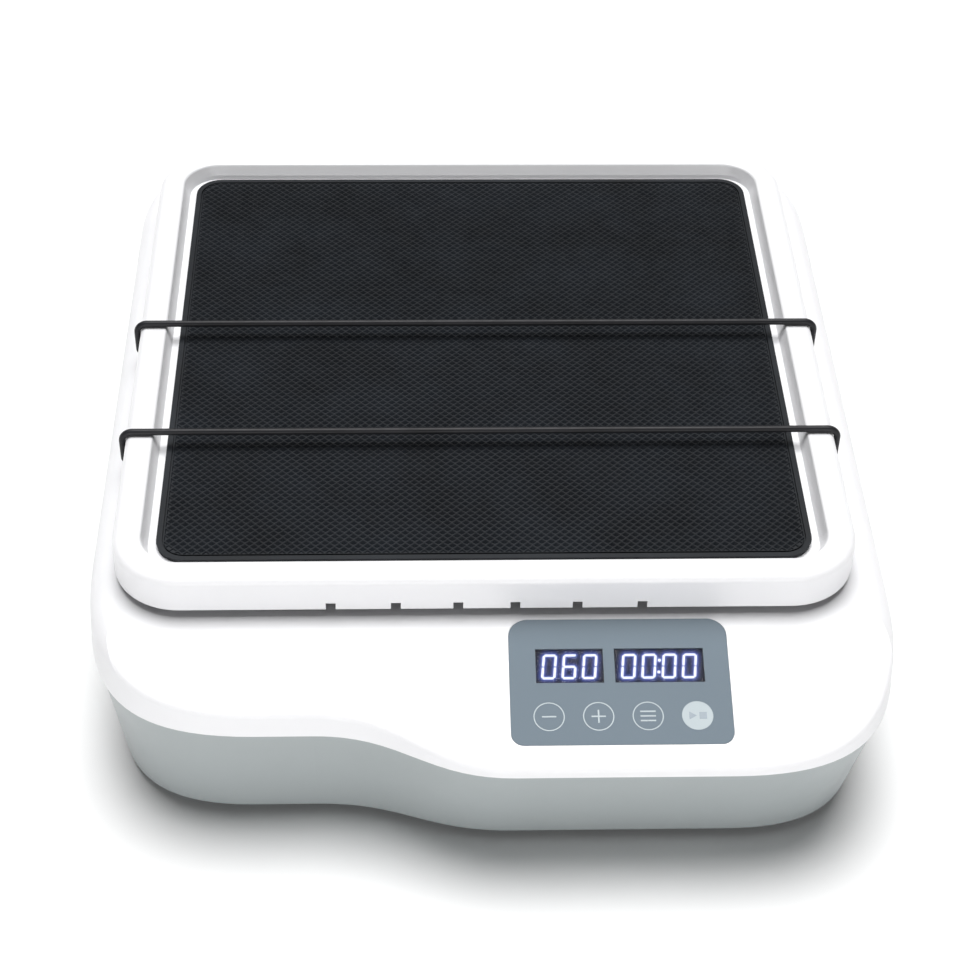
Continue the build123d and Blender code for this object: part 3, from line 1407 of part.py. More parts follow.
# Power inlet and its nut
with BuildPart() as inlet_form:
    with BuildSketch(upright(0, 0)):
        with BuildLine():
            body_radius, body_length = inlet_body
            flange_radius, flange_height = inlet_flange
            Polyline((0, -inlet_depth - body_length), (body_radius, -inlet_depth - body_length),
                     (body_radius, -inlet_depth), (inlet_barrel_radius, -inlet_depth), (inlet_barrel_radius, 0),
                     (flange_radius, 0), (flange_radius, flange_height - inlet_edge),
                     (flange_radius - inlet_edge, flange_height), (inlet_socket_radius, flange_height),
                     (inlet_socket_radius, flange_height - inlet_depth), (inlet_pin_radius, flange_height - inlet_depth),
                     (inlet_pin_radius, flange_height - inlet_pin_recess), (0, flange_height - inlet_pin_recess),
                     close=True)
        make_face()
    revolve(axis=Axis.Z)
save(inlet_form.part.moved(on_rear_wall(inlet_x).location), "dc_inlet")

wall_inside = -base_wall * cos(rear_lean)
with BuildPart() as inlet_nut:
    with BuildSketch(on_rear_wall(inlet_x).offset(wall_inside)):
        RegularPolygon(inlet_nut_radius, 6)
        Circle(inlet_barrel_radius + seat_gap, mode=Mode.SUBTRACT)
    extrude(amount=-inlet_nut_height)
save(inlet_nut.part, "inlet_nut")

# Power switch: frame with its cavity, and the rocker on its pivot
with BuildPart() as switch_frame:
    with BuildSketch(on_rear_wall(switch_x)):
        Rectangle(switch_flange[0], switch_flange[1])
    extrude(amount=switch_flange[2])
    chamfer(switch_frame.faces().sort_by(Axis.Y)[-1].edges(), length=inlet_edge)
    with BuildSketch(on_rear_wall(switch_x)):
        Rectangle(switch_length, switch_width)
    extrude(amount=-switch_depth)
    with BuildSketch(on_rear_wall(switch_x).offset(switch_flange[2])):
        Rectangle(switch_cavity[0], switch_cavity[1])
    extrude(amount=-switch_cavity[2] - switch_flange[2], mode=Mode.SUBTRACT)
    rear_plane = on_rear_wall(switch_x).offset(-rocker_pivot_depth)
    pivot_plane = Plane(origin=rear_plane.origin, x_dir=rear_plane.x_dir, z_dir=rear_plane.y_dir)
    with BuildSketch(pivot_plane):
        Circle(rocker_pivot_radius + running_gap)
    extrude(amount=rocker_pivot_reach + running_gap, both=True, mode=Mode.SUBTRACT)
save(switch_frame.part, "switch_frame")

with BuildPart() as power_rocker:
    with BuildSketch(pivot_plane.rotated((0, 0, rocker_tilt))):
        with BuildLine():
            rise = rocker_corner[1] + rocker_pivot_depth
            Line((rocker_radius, 0), (rocker_corner[0], -rise))
            Line((rocker_corner[0], -rise), (0, -rocker_valley - rocker_pivot_depth))
            Line((0, -rocker_valley - rocker_pivot_depth), (-rocker_corner[0], -rise))
            Line((-rocker_corner[0], -rise), (-rocker_radius, 0))
            ThreePointArc((-rocker_radius, 0), (0, rocker_radius), (rocker_radius, 0))
        make_face()
    extrude(amount=rocker_width / 2, both=True)
    with BuildSketch(pivot_plane):
        Circle(rocker_pivot_radius)
    extrude(amount=rocker_pivot_reach, both=True)
save(power_rocker.part, "power_rocker")
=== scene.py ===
import json
from math import cos, exp, hypot, pi, radians, sin, sqrt, tan

import bmesh
import bpy
from mathutils import Matrix, Vector


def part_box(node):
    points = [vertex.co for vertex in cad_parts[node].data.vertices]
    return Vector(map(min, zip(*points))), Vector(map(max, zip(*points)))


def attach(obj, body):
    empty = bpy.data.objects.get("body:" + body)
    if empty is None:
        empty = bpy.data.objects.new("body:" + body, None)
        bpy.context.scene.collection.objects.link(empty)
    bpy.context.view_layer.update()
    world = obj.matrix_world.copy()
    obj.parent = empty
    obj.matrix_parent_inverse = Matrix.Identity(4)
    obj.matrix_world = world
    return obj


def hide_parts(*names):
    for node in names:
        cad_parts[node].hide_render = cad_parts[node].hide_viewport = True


bl_info = {
    "name": "Orbital Shaker Parts",
    "version": (1, 0, 0),
    "blender": (4, 5, 0),
    "location": "3D View > Sidebar > Shaker",
    "description": "Builds the finishes and fine parts of a bench orbital shaker",
    "category": "Object",
}

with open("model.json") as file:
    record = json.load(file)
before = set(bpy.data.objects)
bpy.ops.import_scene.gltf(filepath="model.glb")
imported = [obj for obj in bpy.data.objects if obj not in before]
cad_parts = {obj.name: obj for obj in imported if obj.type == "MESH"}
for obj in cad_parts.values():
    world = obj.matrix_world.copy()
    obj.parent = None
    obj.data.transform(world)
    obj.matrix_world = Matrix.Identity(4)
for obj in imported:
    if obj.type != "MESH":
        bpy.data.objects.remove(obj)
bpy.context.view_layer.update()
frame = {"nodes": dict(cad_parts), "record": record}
nodes = frame["nodes"]
slot_of = {row["node"]: row["material_slot"] for row in frame["record"]["subparts"]}

# Places and sizes shared with the solids, in metres
mm = 0.001
mat_low, mat_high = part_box("mat")
mat_corner = 11.0 * mm
overlay_low, overlay_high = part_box("panel_overlay")
panel_middle_x = (overlay_low.x + overlay_high.x) / 2
panel_length = 52.7 * mm
panel_half_thickness = 0.4 * mm
apron_tilt = radians(17)
window_drop = 12.6 * mm
window_height = 14.4 * mm
speed_window_width = 25.9 * mm
time_window_width = 34.2 * mm
module_margin = 1.0 * mm
touch_pad_radius = 5.0 * mm


class ShakerFinishSettings(bpy.types.PropertyGroup):
    """Colours of the moulded parts and the panel"""
    cover_color: bpy.props.FloatVectorProperty(
        name="Cover", description="Colour of the top cover and the tray", subtype="COLOR", size=3,
        min=0, max=1, default=(0.83, 0.83, 0.845))
    base_color: bpy.props.FloatVectorProperty(
        name="Base", description="Colour of the base shell", subtype="COLOR", size=3,
        min=0, max=1, default=(0.33, 0.36, 0.365))
    mat_color: bpy.props.FloatVectorProperty(
        name="Mat", description="Colour of the rubber mat", subtype="COLOR", size=3,
        min=0, max=1, default=(0.007, 0.009, 0.012))
    panel_color: bpy.props.FloatVectorProperty(
        name="Panel", description="Colour of the control panel film", subtype="COLOR", size=3,
        min=0, max=1, default=(0.13, 0.17, 0.205))
    print_color: bpy.props.FloatVectorProperty(
        name="Panel print", description="Colour of the key rings and signs", subtype="COLOR", size=3,
        min=0, max=1, default=(0.28, 0.34, 0.365))
    display_color: bpy.props.FloatVectorProperty(
        name="Display", description="Colour of the display's glow", subtype="COLOR", size=3,
        min=0, max=1, default=(0.16, 0.25, 1.0))


class ShakerMatSettings(bpy.types.PropertyGroup):
    """Sizes of the pattern in the mat"""
    pit_pitch: bpy.props.FloatProperty(
        name="Pit pitch", description="Distance between the ridges, square to them", subtype="DISTANCE",
        unit="LENGTH", min=0.001, default=2.6 * mm)
    ridge_width: bpy.props.FloatProperty(
        name="Ridge width", description="Width of the flat top of a ridge", subtype="DISTANCE",
        unit="LENGTH", min=0.0001, default=0.36 * mm)
    pit_depth: bpy.props.FloatProperty(
        name="Pit depth", description="Depth of a pit below the ridges", subtype="DISTANCE",
        unit="LENGTH", min=0.0001, default=0.85 * mm)
    plain_border: bpy.props.FloatProperty(
        name="Plain border", description="Width of the smooth border", subtype="DISTANCE",
        unit="LENGTH", min=0.0, default=2.6 * mm)


class ShakerDisplaySettings(bpy.types.PropertyGroup):
    """What the two displays show"""
    speed_text: bpy.props.StringProperty(
        name="Speed", description="Digits of the speed display", default="060")
    time_text: bpy.props.StringProperty(
        name="Time", description="Digits of the time display", default="00:00")
    digit_height: bpy.props.FloatProperty(
        name="Digit height", description="Height of a digit", subtype="DISTANCE", unit="LENGTH",
        min=0.001, default=9.6 * mm)
    digit_width: bpy.props.FloatProperty(
        name="Digit width", description="Width of a digit", subtype="DISTANCE", unit="LENGTH",
        min=0.001, default=4.6 * mm)
    slant: bpy.props.FloatProperty(
        name="Slant", description="Lean of the digits to the right", subtype="ANGLE", unit="ROTATION",
        default=radians(6))


class ShakerStageSettings(bpy.types.PropertyGroup):
    """Floor, light and camera"""
    lens: bpy.props.FloatProperty(
        name="Lens", description="Focal length of the camera in millimetres", min=20, default=83.25)
    camera_place: bpy.props.FloatVectorProperty(
        name="Camera place", description="Where the camera stands", subtype="TRANSLATION",
        unit="LENGTH", size=3, default=(-0.0302, -0.7247, 0.6913))
    camera_pitch: bpy.props.FloatProperty(
        name="Camera pitch", description="Angle of the view below the horizon", subtype="ANGLE",
        unit="ROTATION", default=0.736655)
    camera_yaw: bpy.props.FloatProperty(
        name="Camera yaw", description="Turn of the view to the right", subtype="ANGLE", unit="ROTATION",
        default=0.0413016)
    camera_roll: bpy.props.FloatProperty(
        name="Camera roll", description="Roll of the camera", subtype="ANGLE", unit="ROTATION",
        default=0.0221252)
    sky_strength: bpy.props.FloatProperty(
        name="Sky", description="Strength of the white surroundings", min=0, default=0.07)
    key_strength: bpy.props.FloatProperty(
        name="Key light", description="Strength of the high light behind the part", min=0, default=3.95)
    key_height: bpy.props.FloatProperty(
        name="Key height", description="Angle of the key light above the horizon", subtype="ANGLE",
        unit="ROTATION", default=radians(76))
    key_softness: bpy.props.FloatProperty(
        name="Key softness", description="Apparent size of the key light", subtype="ANGLE", unit="ROTATION",
        default=radians(44))
    front_power: bpy.props.FloatProperty(
        name="Front light", description="Power of the low front light", subtype="POWER", unit="POWER",
        min=0, default=29.0)


# Materials


class NodeSheet:
    """The node tree of one material, with short calls to add and join nodes."""

    def __init__(self, name):
        self.material = bpy.data.materials.new(name)
        self.material.use_nodes = True
        self.tree = self.material.node_tree
        self.surface = self.tree.nodes["Principled BSDF"]

    def add(self, kind, **settings):
        """New node, with its inputs and options set by name."""
        node = self.tree.nodes.new(kind)
        for key, value in settings.items():
            if key in node.inputs:
                node.inputs[key].default_value = value
            else:
                setattr(node, key, value)
        return node

    def join(self, source, target):
        self.tree.links.new(source, target)

    def place(self, scale=(1, 1, 1), turn=(0, 0, 0)):
        """Object coordinates, scaled and turned."""
        coordinates = self.add("ShaderNodeTexCoord")
        mapping = self.add("ShaderNodeMapping", Scale=scale, Rotation=turn)
        self.join(coordinates.outputs["Object"], mapping.inputs["Vector"])
        return mapping.outputs["Vector"]

    def noise(self, place, scale, detail=2.0, rough=0.5):
        node = self.add("ShaderNodeTexNoise", Scale=scale, Detail=detail, Roughness=rough)
        self.join(place, node.inputs["Vector"])
        return node.outputs["Fac"]

    def span(self, value, low, high, start=0.3, end=0.7):
        """Stretches the middle of a noise's values, from start to end, over low to high."""
        node = self.add("ShaderNodeMapRange")
        node.inputs["From Min"].default_value = start
        node.inputs["From Max"].default_value = end
        node.inputs["To Min"].default_value = low
        node.inputs["To Max"].default_value = high
        self.join(value, node.inputs["Value"])
        return node.outputs["Result"]

    def blend(self, factor, first, second):
        """Mix of two colours by a factor."""
        node = self.add("ShaderNodeMix", data_type="RGBA")
        self.join(factor, node.inputs["Factor"])
        node.inputs["A"].default_value = (*first, 1)
        node.inputs["B"].default_value = (*second, 1)
        return node.outputs["Result"]

    def bump(self, height, distance, strength=1.0):
        node = self.add("ShaderNodeBump", Distance=distance, Strength=strength)
        self.join(height, node.inputs["Height"])
        return node.outputs["Normal"]

    def colour(self, value):
        self.join(value, self.surface.inputs["Base Color"])

    def roughness(self, value):
        self.join(value, self.surface.inputs["Roughness"])

    def normal(self, value):
        self.join(value, self.surface.inputs["Normal"])

    def fix(self, **values):
        """Plain values of the surface, named with underscores for the spaces."""
        for key, value in values.items():
            self.surface.inputs[key.replace("_", " ")].default_value = value


def rgb(red, green, blue):
    """Display colour given in 0 to 255 as scene-linear numbers, by the sRGB curve."""
    linear = []
    for value in (red, green, blue):
        value /= 255
        linear.append(value / 12.92 if value <= 0.04045 else ((value + 0.055) / 1.055) ** 2.4)
    return tuple(linear)


def shade(color, factor):
    """Colour made darker or lighter by a factor."""
    return tuple(min(1.0, value * factor) for value in color)


def moulded_plastic(name, color, grain=1500.0, rough=(0.34, 0.44), spread=0.04):
    """Moulded plastic with a fine eroded grain, faint flow marks and slight changes of tone."""
    sheet = NodeSheet(name)
    place = sheet.place()
    cloud = sheet.noise(place, 9.0, 3.0)
    sheet.colour(sheet.blend(cloud, shade(color, 1 - spread), shade(color, 1 + spread)))
    sheet.roughness(sheet.span(sheet.noise(place, 60.0, 4.0), *rough))
    sheet.normal(sheet.bump(sheet.noise(place, grain, 1.0), 0.02 * mm, 0.35))
    return sheet.material


def rubber(name, color, rough=(0.55, 0.75), grain=900.0):
    """Rubber with a dull skin, dusty changes of tone and a fine pore."""
    sheet = NodeSheet(name)
    place = sheet.place()
    dust = sheet.span(sheet.noise(place, 35.0, 5.0, 0.6), 0, 1, 0.35, 0.7)
    sheet.colour(sheet.blend(dust, shade(color, 0.8), shade(color, 1.5)))
    sheet.roughness(sheet.span(sheet.noise(place, 200.0, 3.0), *rough))
    sheet.normal(sheet.bump(sheet.noise(place, grain, 2.0), 0.04 * mm, 0.4))
    sheet.fix(Specular_IOR_Level=0.25)
    return sheet.material


def brushed_metal(name, color, stretch=(1, 1, 1), rough=(0.22, 0.42), line=500.0):
    """Metal with drawn or turned marks that run along one direction."""
    sheet = NodeSheet(name)
    marks = sheet.noise(sheet.place(stretch), line, 4.0, 0.7)
    tone = sheet.noise(sheet.place(), 20.0, 3.0)
    sheet.colour(sheet.blend(tone, shade(color, 0.88), shade(color, 1.06)))
    sheet.roughness(sheet.span(marks, *rough))
    sheet.normal(sheet.bump(marks, 0.02 * mm, 0.3))
    sheet.fix(Metallic=1.0)
    return sheet.material


def cast_metal(name, color):
    """Painted casting with a pebbled skin."""
    sheet = NodeSheet(name)
    place = sheet.place()
    skin = sheet.noise(place, 420.0, 4.0, 0.6)
    sheet.colour(sheet.blend(sheet.noise(place, 40.0, 4.0), shade(color, 0.8), shade(color, 1.25)))
    sheet.roughness(sheet.span(skin, 0.45, 0.65))
    sheet.normal(sheet.bump(skin, 0.12 * mm, 0.6))
    return sheet.material


def circuit_board(name, color):
    """Solder resist over copper tracks, with darker bare laminate between them."""
    sheet = NodeSheet(name)
    tracks = sheet.add("ShaderNodeTexBrick", Scale=90.0, offset=0.37, squash=1.0)
    tracks.inputs["Color1"].default_value = (1, 1, 1, 1)
    tracks.inputs["Color2"].default_value = (0.8, 0.8, 0.8, 1)
    tracks.inputs["Mortar"].default_value = (0, 0, 0, 1)
    tracks.inputs["Mortar Size"].default_value = 0.06
    sheet.join(sheet.place(turn=(0, 0, radians(45))), tracks.inputs["Vector"])
    sheet.colour(sheet.blend(tracks.outputs["Color"], shade(color, 0.55), shade(color, 1.2)))
    sheet.roughness(sheet.span(sheet.noise(sheet.place(), 150.0, 3.0), 0.25, 0.4))
    sheet.normal(sheet.bump(tracks.outputs["Color"], 0.04 * mm, 0.5))
    return sheet.material


def panel_film(name, color):
    """Smooth film with a faint even haze and a trace of a clear coat."""
    sheet = NodeSheet(name)
    place = sheet.place()
    haze = sheet.noise(place, 14.0, 2.0)
    sheet.colour(sheet.blend(haze, shade(color, 0.97), shade(color, 1.04)))
    sheet.roughness(sheet.span(sheet.noise(place, 700.0, 2.0), 0.16, 0.22))
    sheet.normal(sheet.bump(sheet.noise(place, 60.0, 1.0), 0.01 * mm, 0.3))
    sheet.fix(Specular_IOR_Level=0.08, Coat_Weight=0.02, Coat_Roughness=0.04)
    return sheet.material


def window_film(name):
    """Dark tinted window, clear enough for the lit digits behind it."""
    sheet = NodeSheet(name)
    place = sheet.place()
    sheet.colour(sheet.blend(sheet.noise(place, 30.0), (0.004, 0.004, 0.006), (0.008, 0.008, 0.011)))
    sheet.roughness(sheet.span(sheet.noise(place, 300.0), 0.05, 0.09))
    sheet.fix(Alpha=0.12, Specular_IOR_Level=0.2)
    return sheet.material


def lit_display(name, color):
    """Display face: black between the segments, glowing by the strength stored on the mesh."""
    sheet = NodeSheet(name)
    glow = sheet.add("ShaderNodeAttribute", attribute_name="glow")
    ramp = sheet.add("ShaderNodeValToRGB")
    stops = ramp.color_ramp.elements
    halo_stop, bright_stop = 0.3, 0.62
    stops.new(halo_stop)
    stops.new(bright_stop)
    glow_colors = ((0.002, 0.002, 0.006), shade(color, 0.35), (0.45, 0.55, 1.0), (1.0, 1.0, 1.0))
    for stop, glow_color in zip(stops, glow_colors):
        stop.color = (*glow_color, 1)
    sheet.join(glow.outputs["Fac"], ramp.inputs["Fac"])
    sheet.join(ramp.outputs["Color"], sheet.surface.inputs["Emission Color"])
    ground = sheet.noise(sheet.place(), 400.0)
    sheet.colour(sheet.blend(ground, (0.004, 0.004, 0.006), (0.008, 0.008, 0.01)))
    sheet.fix(Emission_Strength=1.4, Specular_IOR_Level=0.1, Roughness=0.6)
    return sheet.material


def dress(slot, material):
    """Gives every solid of a record slot its finish."""
    for name, own in slot_of.items():
        if own == slot:
            data = nodes[name].data
            data.materials.clear()
            data.materials.append(material)


# Meshes


def finish_piece(name, mesh, body, material):
    """Turns a bmesh into a piece that rides on a body."""
    bmesh.ops.recalc_face_normals(mesh, faces=mesh.faces)
    data = bpy.data.meshes.new(name)
    mesh.to_mesh(data)
    mesh.free()
    piece = bpy.data.objects.new(name, data)
    bpy.context.scene.collection.objects.link(piece)
    data.materials.append(material)
    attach(piece, body)
    return piece


def on_panel(x, y, lift):
    """Matrix that lays a flat shape on the panel: x right and y up the slope from its middle."""
    outward = Vector((0, -sin(apron_tilt), cos(apron_tilt)))
    uphill = Vector((0, cos(apron_tilt), sin(apron_tilt)))
    middle = (overlay_low + overlay_high) / 2
    place = middle + Vector((x, 0, 0)) + uphill * y + outward * (panel_half_thickness + lift)
    return Matrix.Translation(place) @ Matrix.Rotation(apron_tilt, 4, "X")


def rounded_outline(mesh, half_x, half_y, radius, z):
    """Face with the outline of a rounded rectangle, made of a scaled and bevelled square."""
    made = bmesh.ops.create_grid(mesh, x_segments=1, y_segments=1, size=1)
    bmesh.ops.scale(mesh, vec=(half_x, half_y, 1), verts=made["verts"])
    bmesh.ops.translate(mesh, vec=(0, 0, z), verts=made["verts"])
    bmesh.ops.bevel(mesh, geom=made["verts"], offset=radius, segments=8, profile=0.5, affect="VERTICES",
                    material=-1)
    mesh.faces.ensure_lookup_table()
    return mesh.faces[-1]


def extruded_verts(mesh, faces):
    """Extrudes flat faces and returns the new points, which are still to be moved."""
    grown = bmesh.ops.extrude_face_region(mesh, geom=faces)
    return [item for item in grown["geom"] if isinstance(item, bmesh.types.BMVert)]


def distance_to(point, stroke):
    """Distance of a point from a straight stroke, in the plane of the display."""
    (ax, ay), (bx, by) = stroke
    across, up = bx - ax, by - ay
    share = ((point.x - ax) * across + (point.y - ay) * up) / (across ** 2 + up ** 2)
    share = max(0.0, min(1.0, share))
    return hypot(point.x - ax - share * across, point.y - ay - share * up)


# Operators


class ShakerOperator:
    """Shared settings of the part operators."""
    bl_options = {"REGISTER", "UNDO"}

    @property
    def colors(self):
        return bpy.context.scene.shaker_finish


class SHAKER_OT_set_stage(ShakerOperator, bpy.types.Operator):
    """Sets up the white floor, the soft lights and the camera"""
    bl_idname = "shaker.set_stage"
    bl_label = "Set Stage"

    floor_reach = 4.0
    front_light_place = (0.0, -2.5, 0.22)
    front_light_size = (2.4, 0.36)

    def execute(self, context):
        settings = context.scene.shaker_stage
        context.scene.view_settings.view_transform = "Standard"
        world = bpy.data.worlds.new("studio")
        world.use_nodes = True
        background = world.node_tree.nodes["Background"]
        background.inputs["Color"].default_value = (1, 1, 1, 1)
        background.inputs["Strength"].default_value = settings.sky_strength
        context.scene.world = world
        self.add_floor()
        self.add_key_light(settings)
        self.add_front_light(settings)
        self.add_camera(settings)
        return {"FINISHED"}

    def link(self, name, data):
        item = bpy.data.objects.new(name, data)
        bpy.context.scene.collection.objects.link(item)
        return item

    def aim(self, light, direction):
        light.rotation_euler = direction.to_track_quat("-Z", "Y").to_euler()

    def add_floor(self):
        mesh = bmesh.new()
        bmesh.ops.create_grid(mesh, x_segments=2, y_segments=2, size=self.floor_reach)
        data = bpy.data.meshes.new("floor")
        mesh.to_mesh(data)
        mesh.free()
        sheet = NodeSheet("white_floor")
        sheet.colour(sheet.blend(sheet.noise(sheet.place(), 3.0), (0.93, 0.93, 0.93), (0.95, 0.95, 0.95)))
        sheet.fix(Roughness=0.9, Specular_IOR_Level=0.1)
        data.materials.append(sheet.material)
        self.link("floor", data)

    def add_key_light(self, settings):
        """High, very soft light from behind, so that the shadow falls to the front."""
        data = bpy.data.lights.new("key_light", "SUN")
        data.energy = settings.key_strength
        data.angle = settings.key_softness
        light = self.link("key_light", data)
        self.aim(light, Vector((0, -cos(settings.key_height), -sin(settings.key_height))))

    def add_front_light(self, settings):
        """Low, wide light that lifts the front walls and leaves the floor's shadow."""
        data = bpy.data.lights.new("front_light", "AREA")
        data.shape = "RECTANGLE"
        data.size, data.size_y = self.front_light_size
        data.energy = settings.front_power
        light = self.link("front_light", data)
        light.location = self.front_light_place
        self.aim(light, -Vector(self.front_light_place))

    def add_camera(self, settings):
        """Camera at the measured place, turned by yaw, pitch and roll."""
        data = bpy.data.cameras.new("camera")
        data.lens = settings.lens
        data.sensor_width = 36
        data.clip_start = 0.01
        camera = self.link("camera", data)
        pitch, yaw, roll = settings.camera_pitch, settings.camera_yaw, settings.camera_roll
        forward = Vector((sin(yaw) * cos(pitch), cos(yaw) * cos(pitch), -sin(pitch)))
        right = forward.cross(Vector((0, 0, 1))).normalized()
        up = right.cross(forward)
        camera_x = right * cos(roll) + up * sin(roll)
        camera_y = up * cos(roll) - right * sin(roll)
        turn = Matrix((camera_x, camera_y, -forward)).transposed().to_4x4()
        camera.matrix_world = Matrix.Translation(Vector(settings.camera_place)) @ turn
        bpy.context.scene.camera = camera


class SHAKER_OT_finish_shells(ShakerOperator, bpy.types.Operator):
    """Gives the cover, the base and the tray their moulded and painted finishes"""
    bl_idname = "shaker.finish_shells"
    bl_label = "Finish Shells"

    def execute(self, context):
        cover_color, base_color = tuple(self.colors.cover_color), tuple(self.colors.base_color)
        dress("cover", moulded_plastic("cover_plastic", cover_color, spread=0.005))
        dress("base", moulded_plastic("base_plastic", base_color, spread=0.02))
        tray = moulded_plastic("tray_paint", cover_color, grain=700.0, rough=(0.3, 0.34), spread=0.004)
        dress("tray", tray)
        return {"FINISHED"}


class SHAKER_OT_build_mat(ShakerOperator, bpy.types.Operator):
    """Builds the rubber mat with its lattice of ridges and pits"""
    bl_idname = "shaker.build_mat"
    bl_label = "Build Mat"

    edge_round = 0.35 * mm
    bed_wall = 0.02 * mm
    bed_below_pits = 0.15 * mm
    outline_sides = 16
    whole_share = 0.85
    least_share = 0.3
    whole_pit = (0.36, 1.0)
    cut_pit = (0.12, 0.5)

    def execute(self, context):
        settings = context.scene.shaker_mat
        half = (mat_high.x - mat_low.x) / 2
        inner = half - settings.plain_border
        mesh = bmesh.new()
        self.add_slab(mesh, half, inner, settings)
        self.add_lattice(mesh, inner, settings)
        centre = (mat_low + mat_high) / 2
        bmesh.ops.translate(mesh, vec=(centre.x, centre.y, 0), verts=mesh.verts)
        material = rubber("mat_rubber", tuple(self.colors.mat_color), rough=(0.42, 0.55))
        piece = finish_piece("patterned_mat", mesh, "platform", material)
        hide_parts("mat")
        return {"FINISHED"}

    def add_slab(self, mesh, half, inner, settings):
        """Slab of the mat with a rounded upper edge and a shallow bed for the lattice."""
        top = rounded_outline(mesh, half, half, mat_corner, mat_high.z)
        lower = extruded_verts(mesh, [top])
        bmesh.ops.translate(mesh, vec=(0, 0, mat_low.z - mat_high.z), verts=lower)
        bmesh.ops.reverse_faces(mesh, faces=[top])
        top_edges = [edge for edge in mesh.edges
                     if all(abs(vert.co.z - mat_high.z) < 1e-6 for vert in edge.verts)]
        bmesh.ops.bevel(mesh, geom=top_edges, offset=self.edge_round, segments=3, profile=0.5,
                        affect="EDGES", material=-1)
        upper = max(mesh.faces, key=lambda face: (round(face.calc_center_median().z, 6), face.calc_area()))
        bmesh.ops.inset_region(mesh, faces=[upper], thickness=half - inner - self.edge_round, depth=0,
                               use_even_offset=True)
        bmesh.ops.inset_region(mesh, faces=[upper], thickness=self.bed_wall,
                               depth=-settings.pit_depth - self.bed_below_pits, use_even_offset=True)

    def add_lattice(self, mesh, inner, settings):
        """Ridges turned by 45 degrees with a sunk pit in every square."""
        pitch = settings.pit_pitch
        count = 2 * int(inner * sqrt(2) / pitch) + 4
        lattice = bmesh.new()
        bmesh.ops.create_grid(lattice, x_segments=count, y_segments=count, size=count * pitch / 2)
        bmesh.ops.rotate(lattice, cent=(0, 0, 0), matrix=Matrix.Rotation(pi / 4, 3, "Z"),
                         verts=lattice.verts)
        bmesh.ops.translate(lattice, vec=(0, 0, mat_high.z), verts=lattice.verts)
        self.trim_to_outline(lattice, inner, mat_corner - settings.plain_border)
        cell = pitch * pitch
        whole = [face for face in lattice.faces if face.calc_area() > self.whole_share * cell]
        cut = [face for face in lattice.faces
               if self.least_share * cell < face.calc_area() <= self.whole_share * cell]
        for cells, (slope, depth) in ((whole, self.whole_pit), (cut, self.cut_pit)):
            bmesh.ops.inset_individual(lattice, faces=cells, thickness=settings.ridge_width / 2, depth=0,
                                       use_even_offset=True)
            bmesh.ops.inset_individual(lattice, faces=cells, thickness=pitch * slope,
                                       depth=-settings.pit_depth * depth, use_even_offset=True)
        data = bpy.data.meshes.new("lattice")
        lattice.to_mesh(data)
        lattice.free()
        mesh.from_mesh(data)
        bpy.data.meshes.remove(data)

    def trim_to_outline(self, lattice, inner, corner):
        """Cuts the lattice along straight lines that follow the bed's sides and round corners."""
        for step in range(self.outline_sides):
            turn = 2 * pi * step / self.outline_sides
            direction = Vector((cos(turn), sin(turn), 0))
            distance = (inner - corner) * (abs(direction.x) + abs(direction.y)) + corner
            geom = lattice.verts[:] + lattice.edges[:] + lattice.faces[:]
            bmesh.ops.bisect_plane(lattice, geom=geom, dist=1e-7, plane_co=direction * distance,
                                   plane_no=direction, clear_outer=True)


class SHAKER_OT_finish_cords(ShakerOperator, bpy.types.Operator):
    """Gives the elastic cords a black rubber skin"""
    bl_idname = "shaker.finish_cords"
    bl_label = "Finish Cords"

    def execute(self, context):
        dress("cord", rubber("cord_rubber", rgb(30, 30, 33), rough=(0.4, 0.5), grain=1600.0))
        return {"FINISHED"}


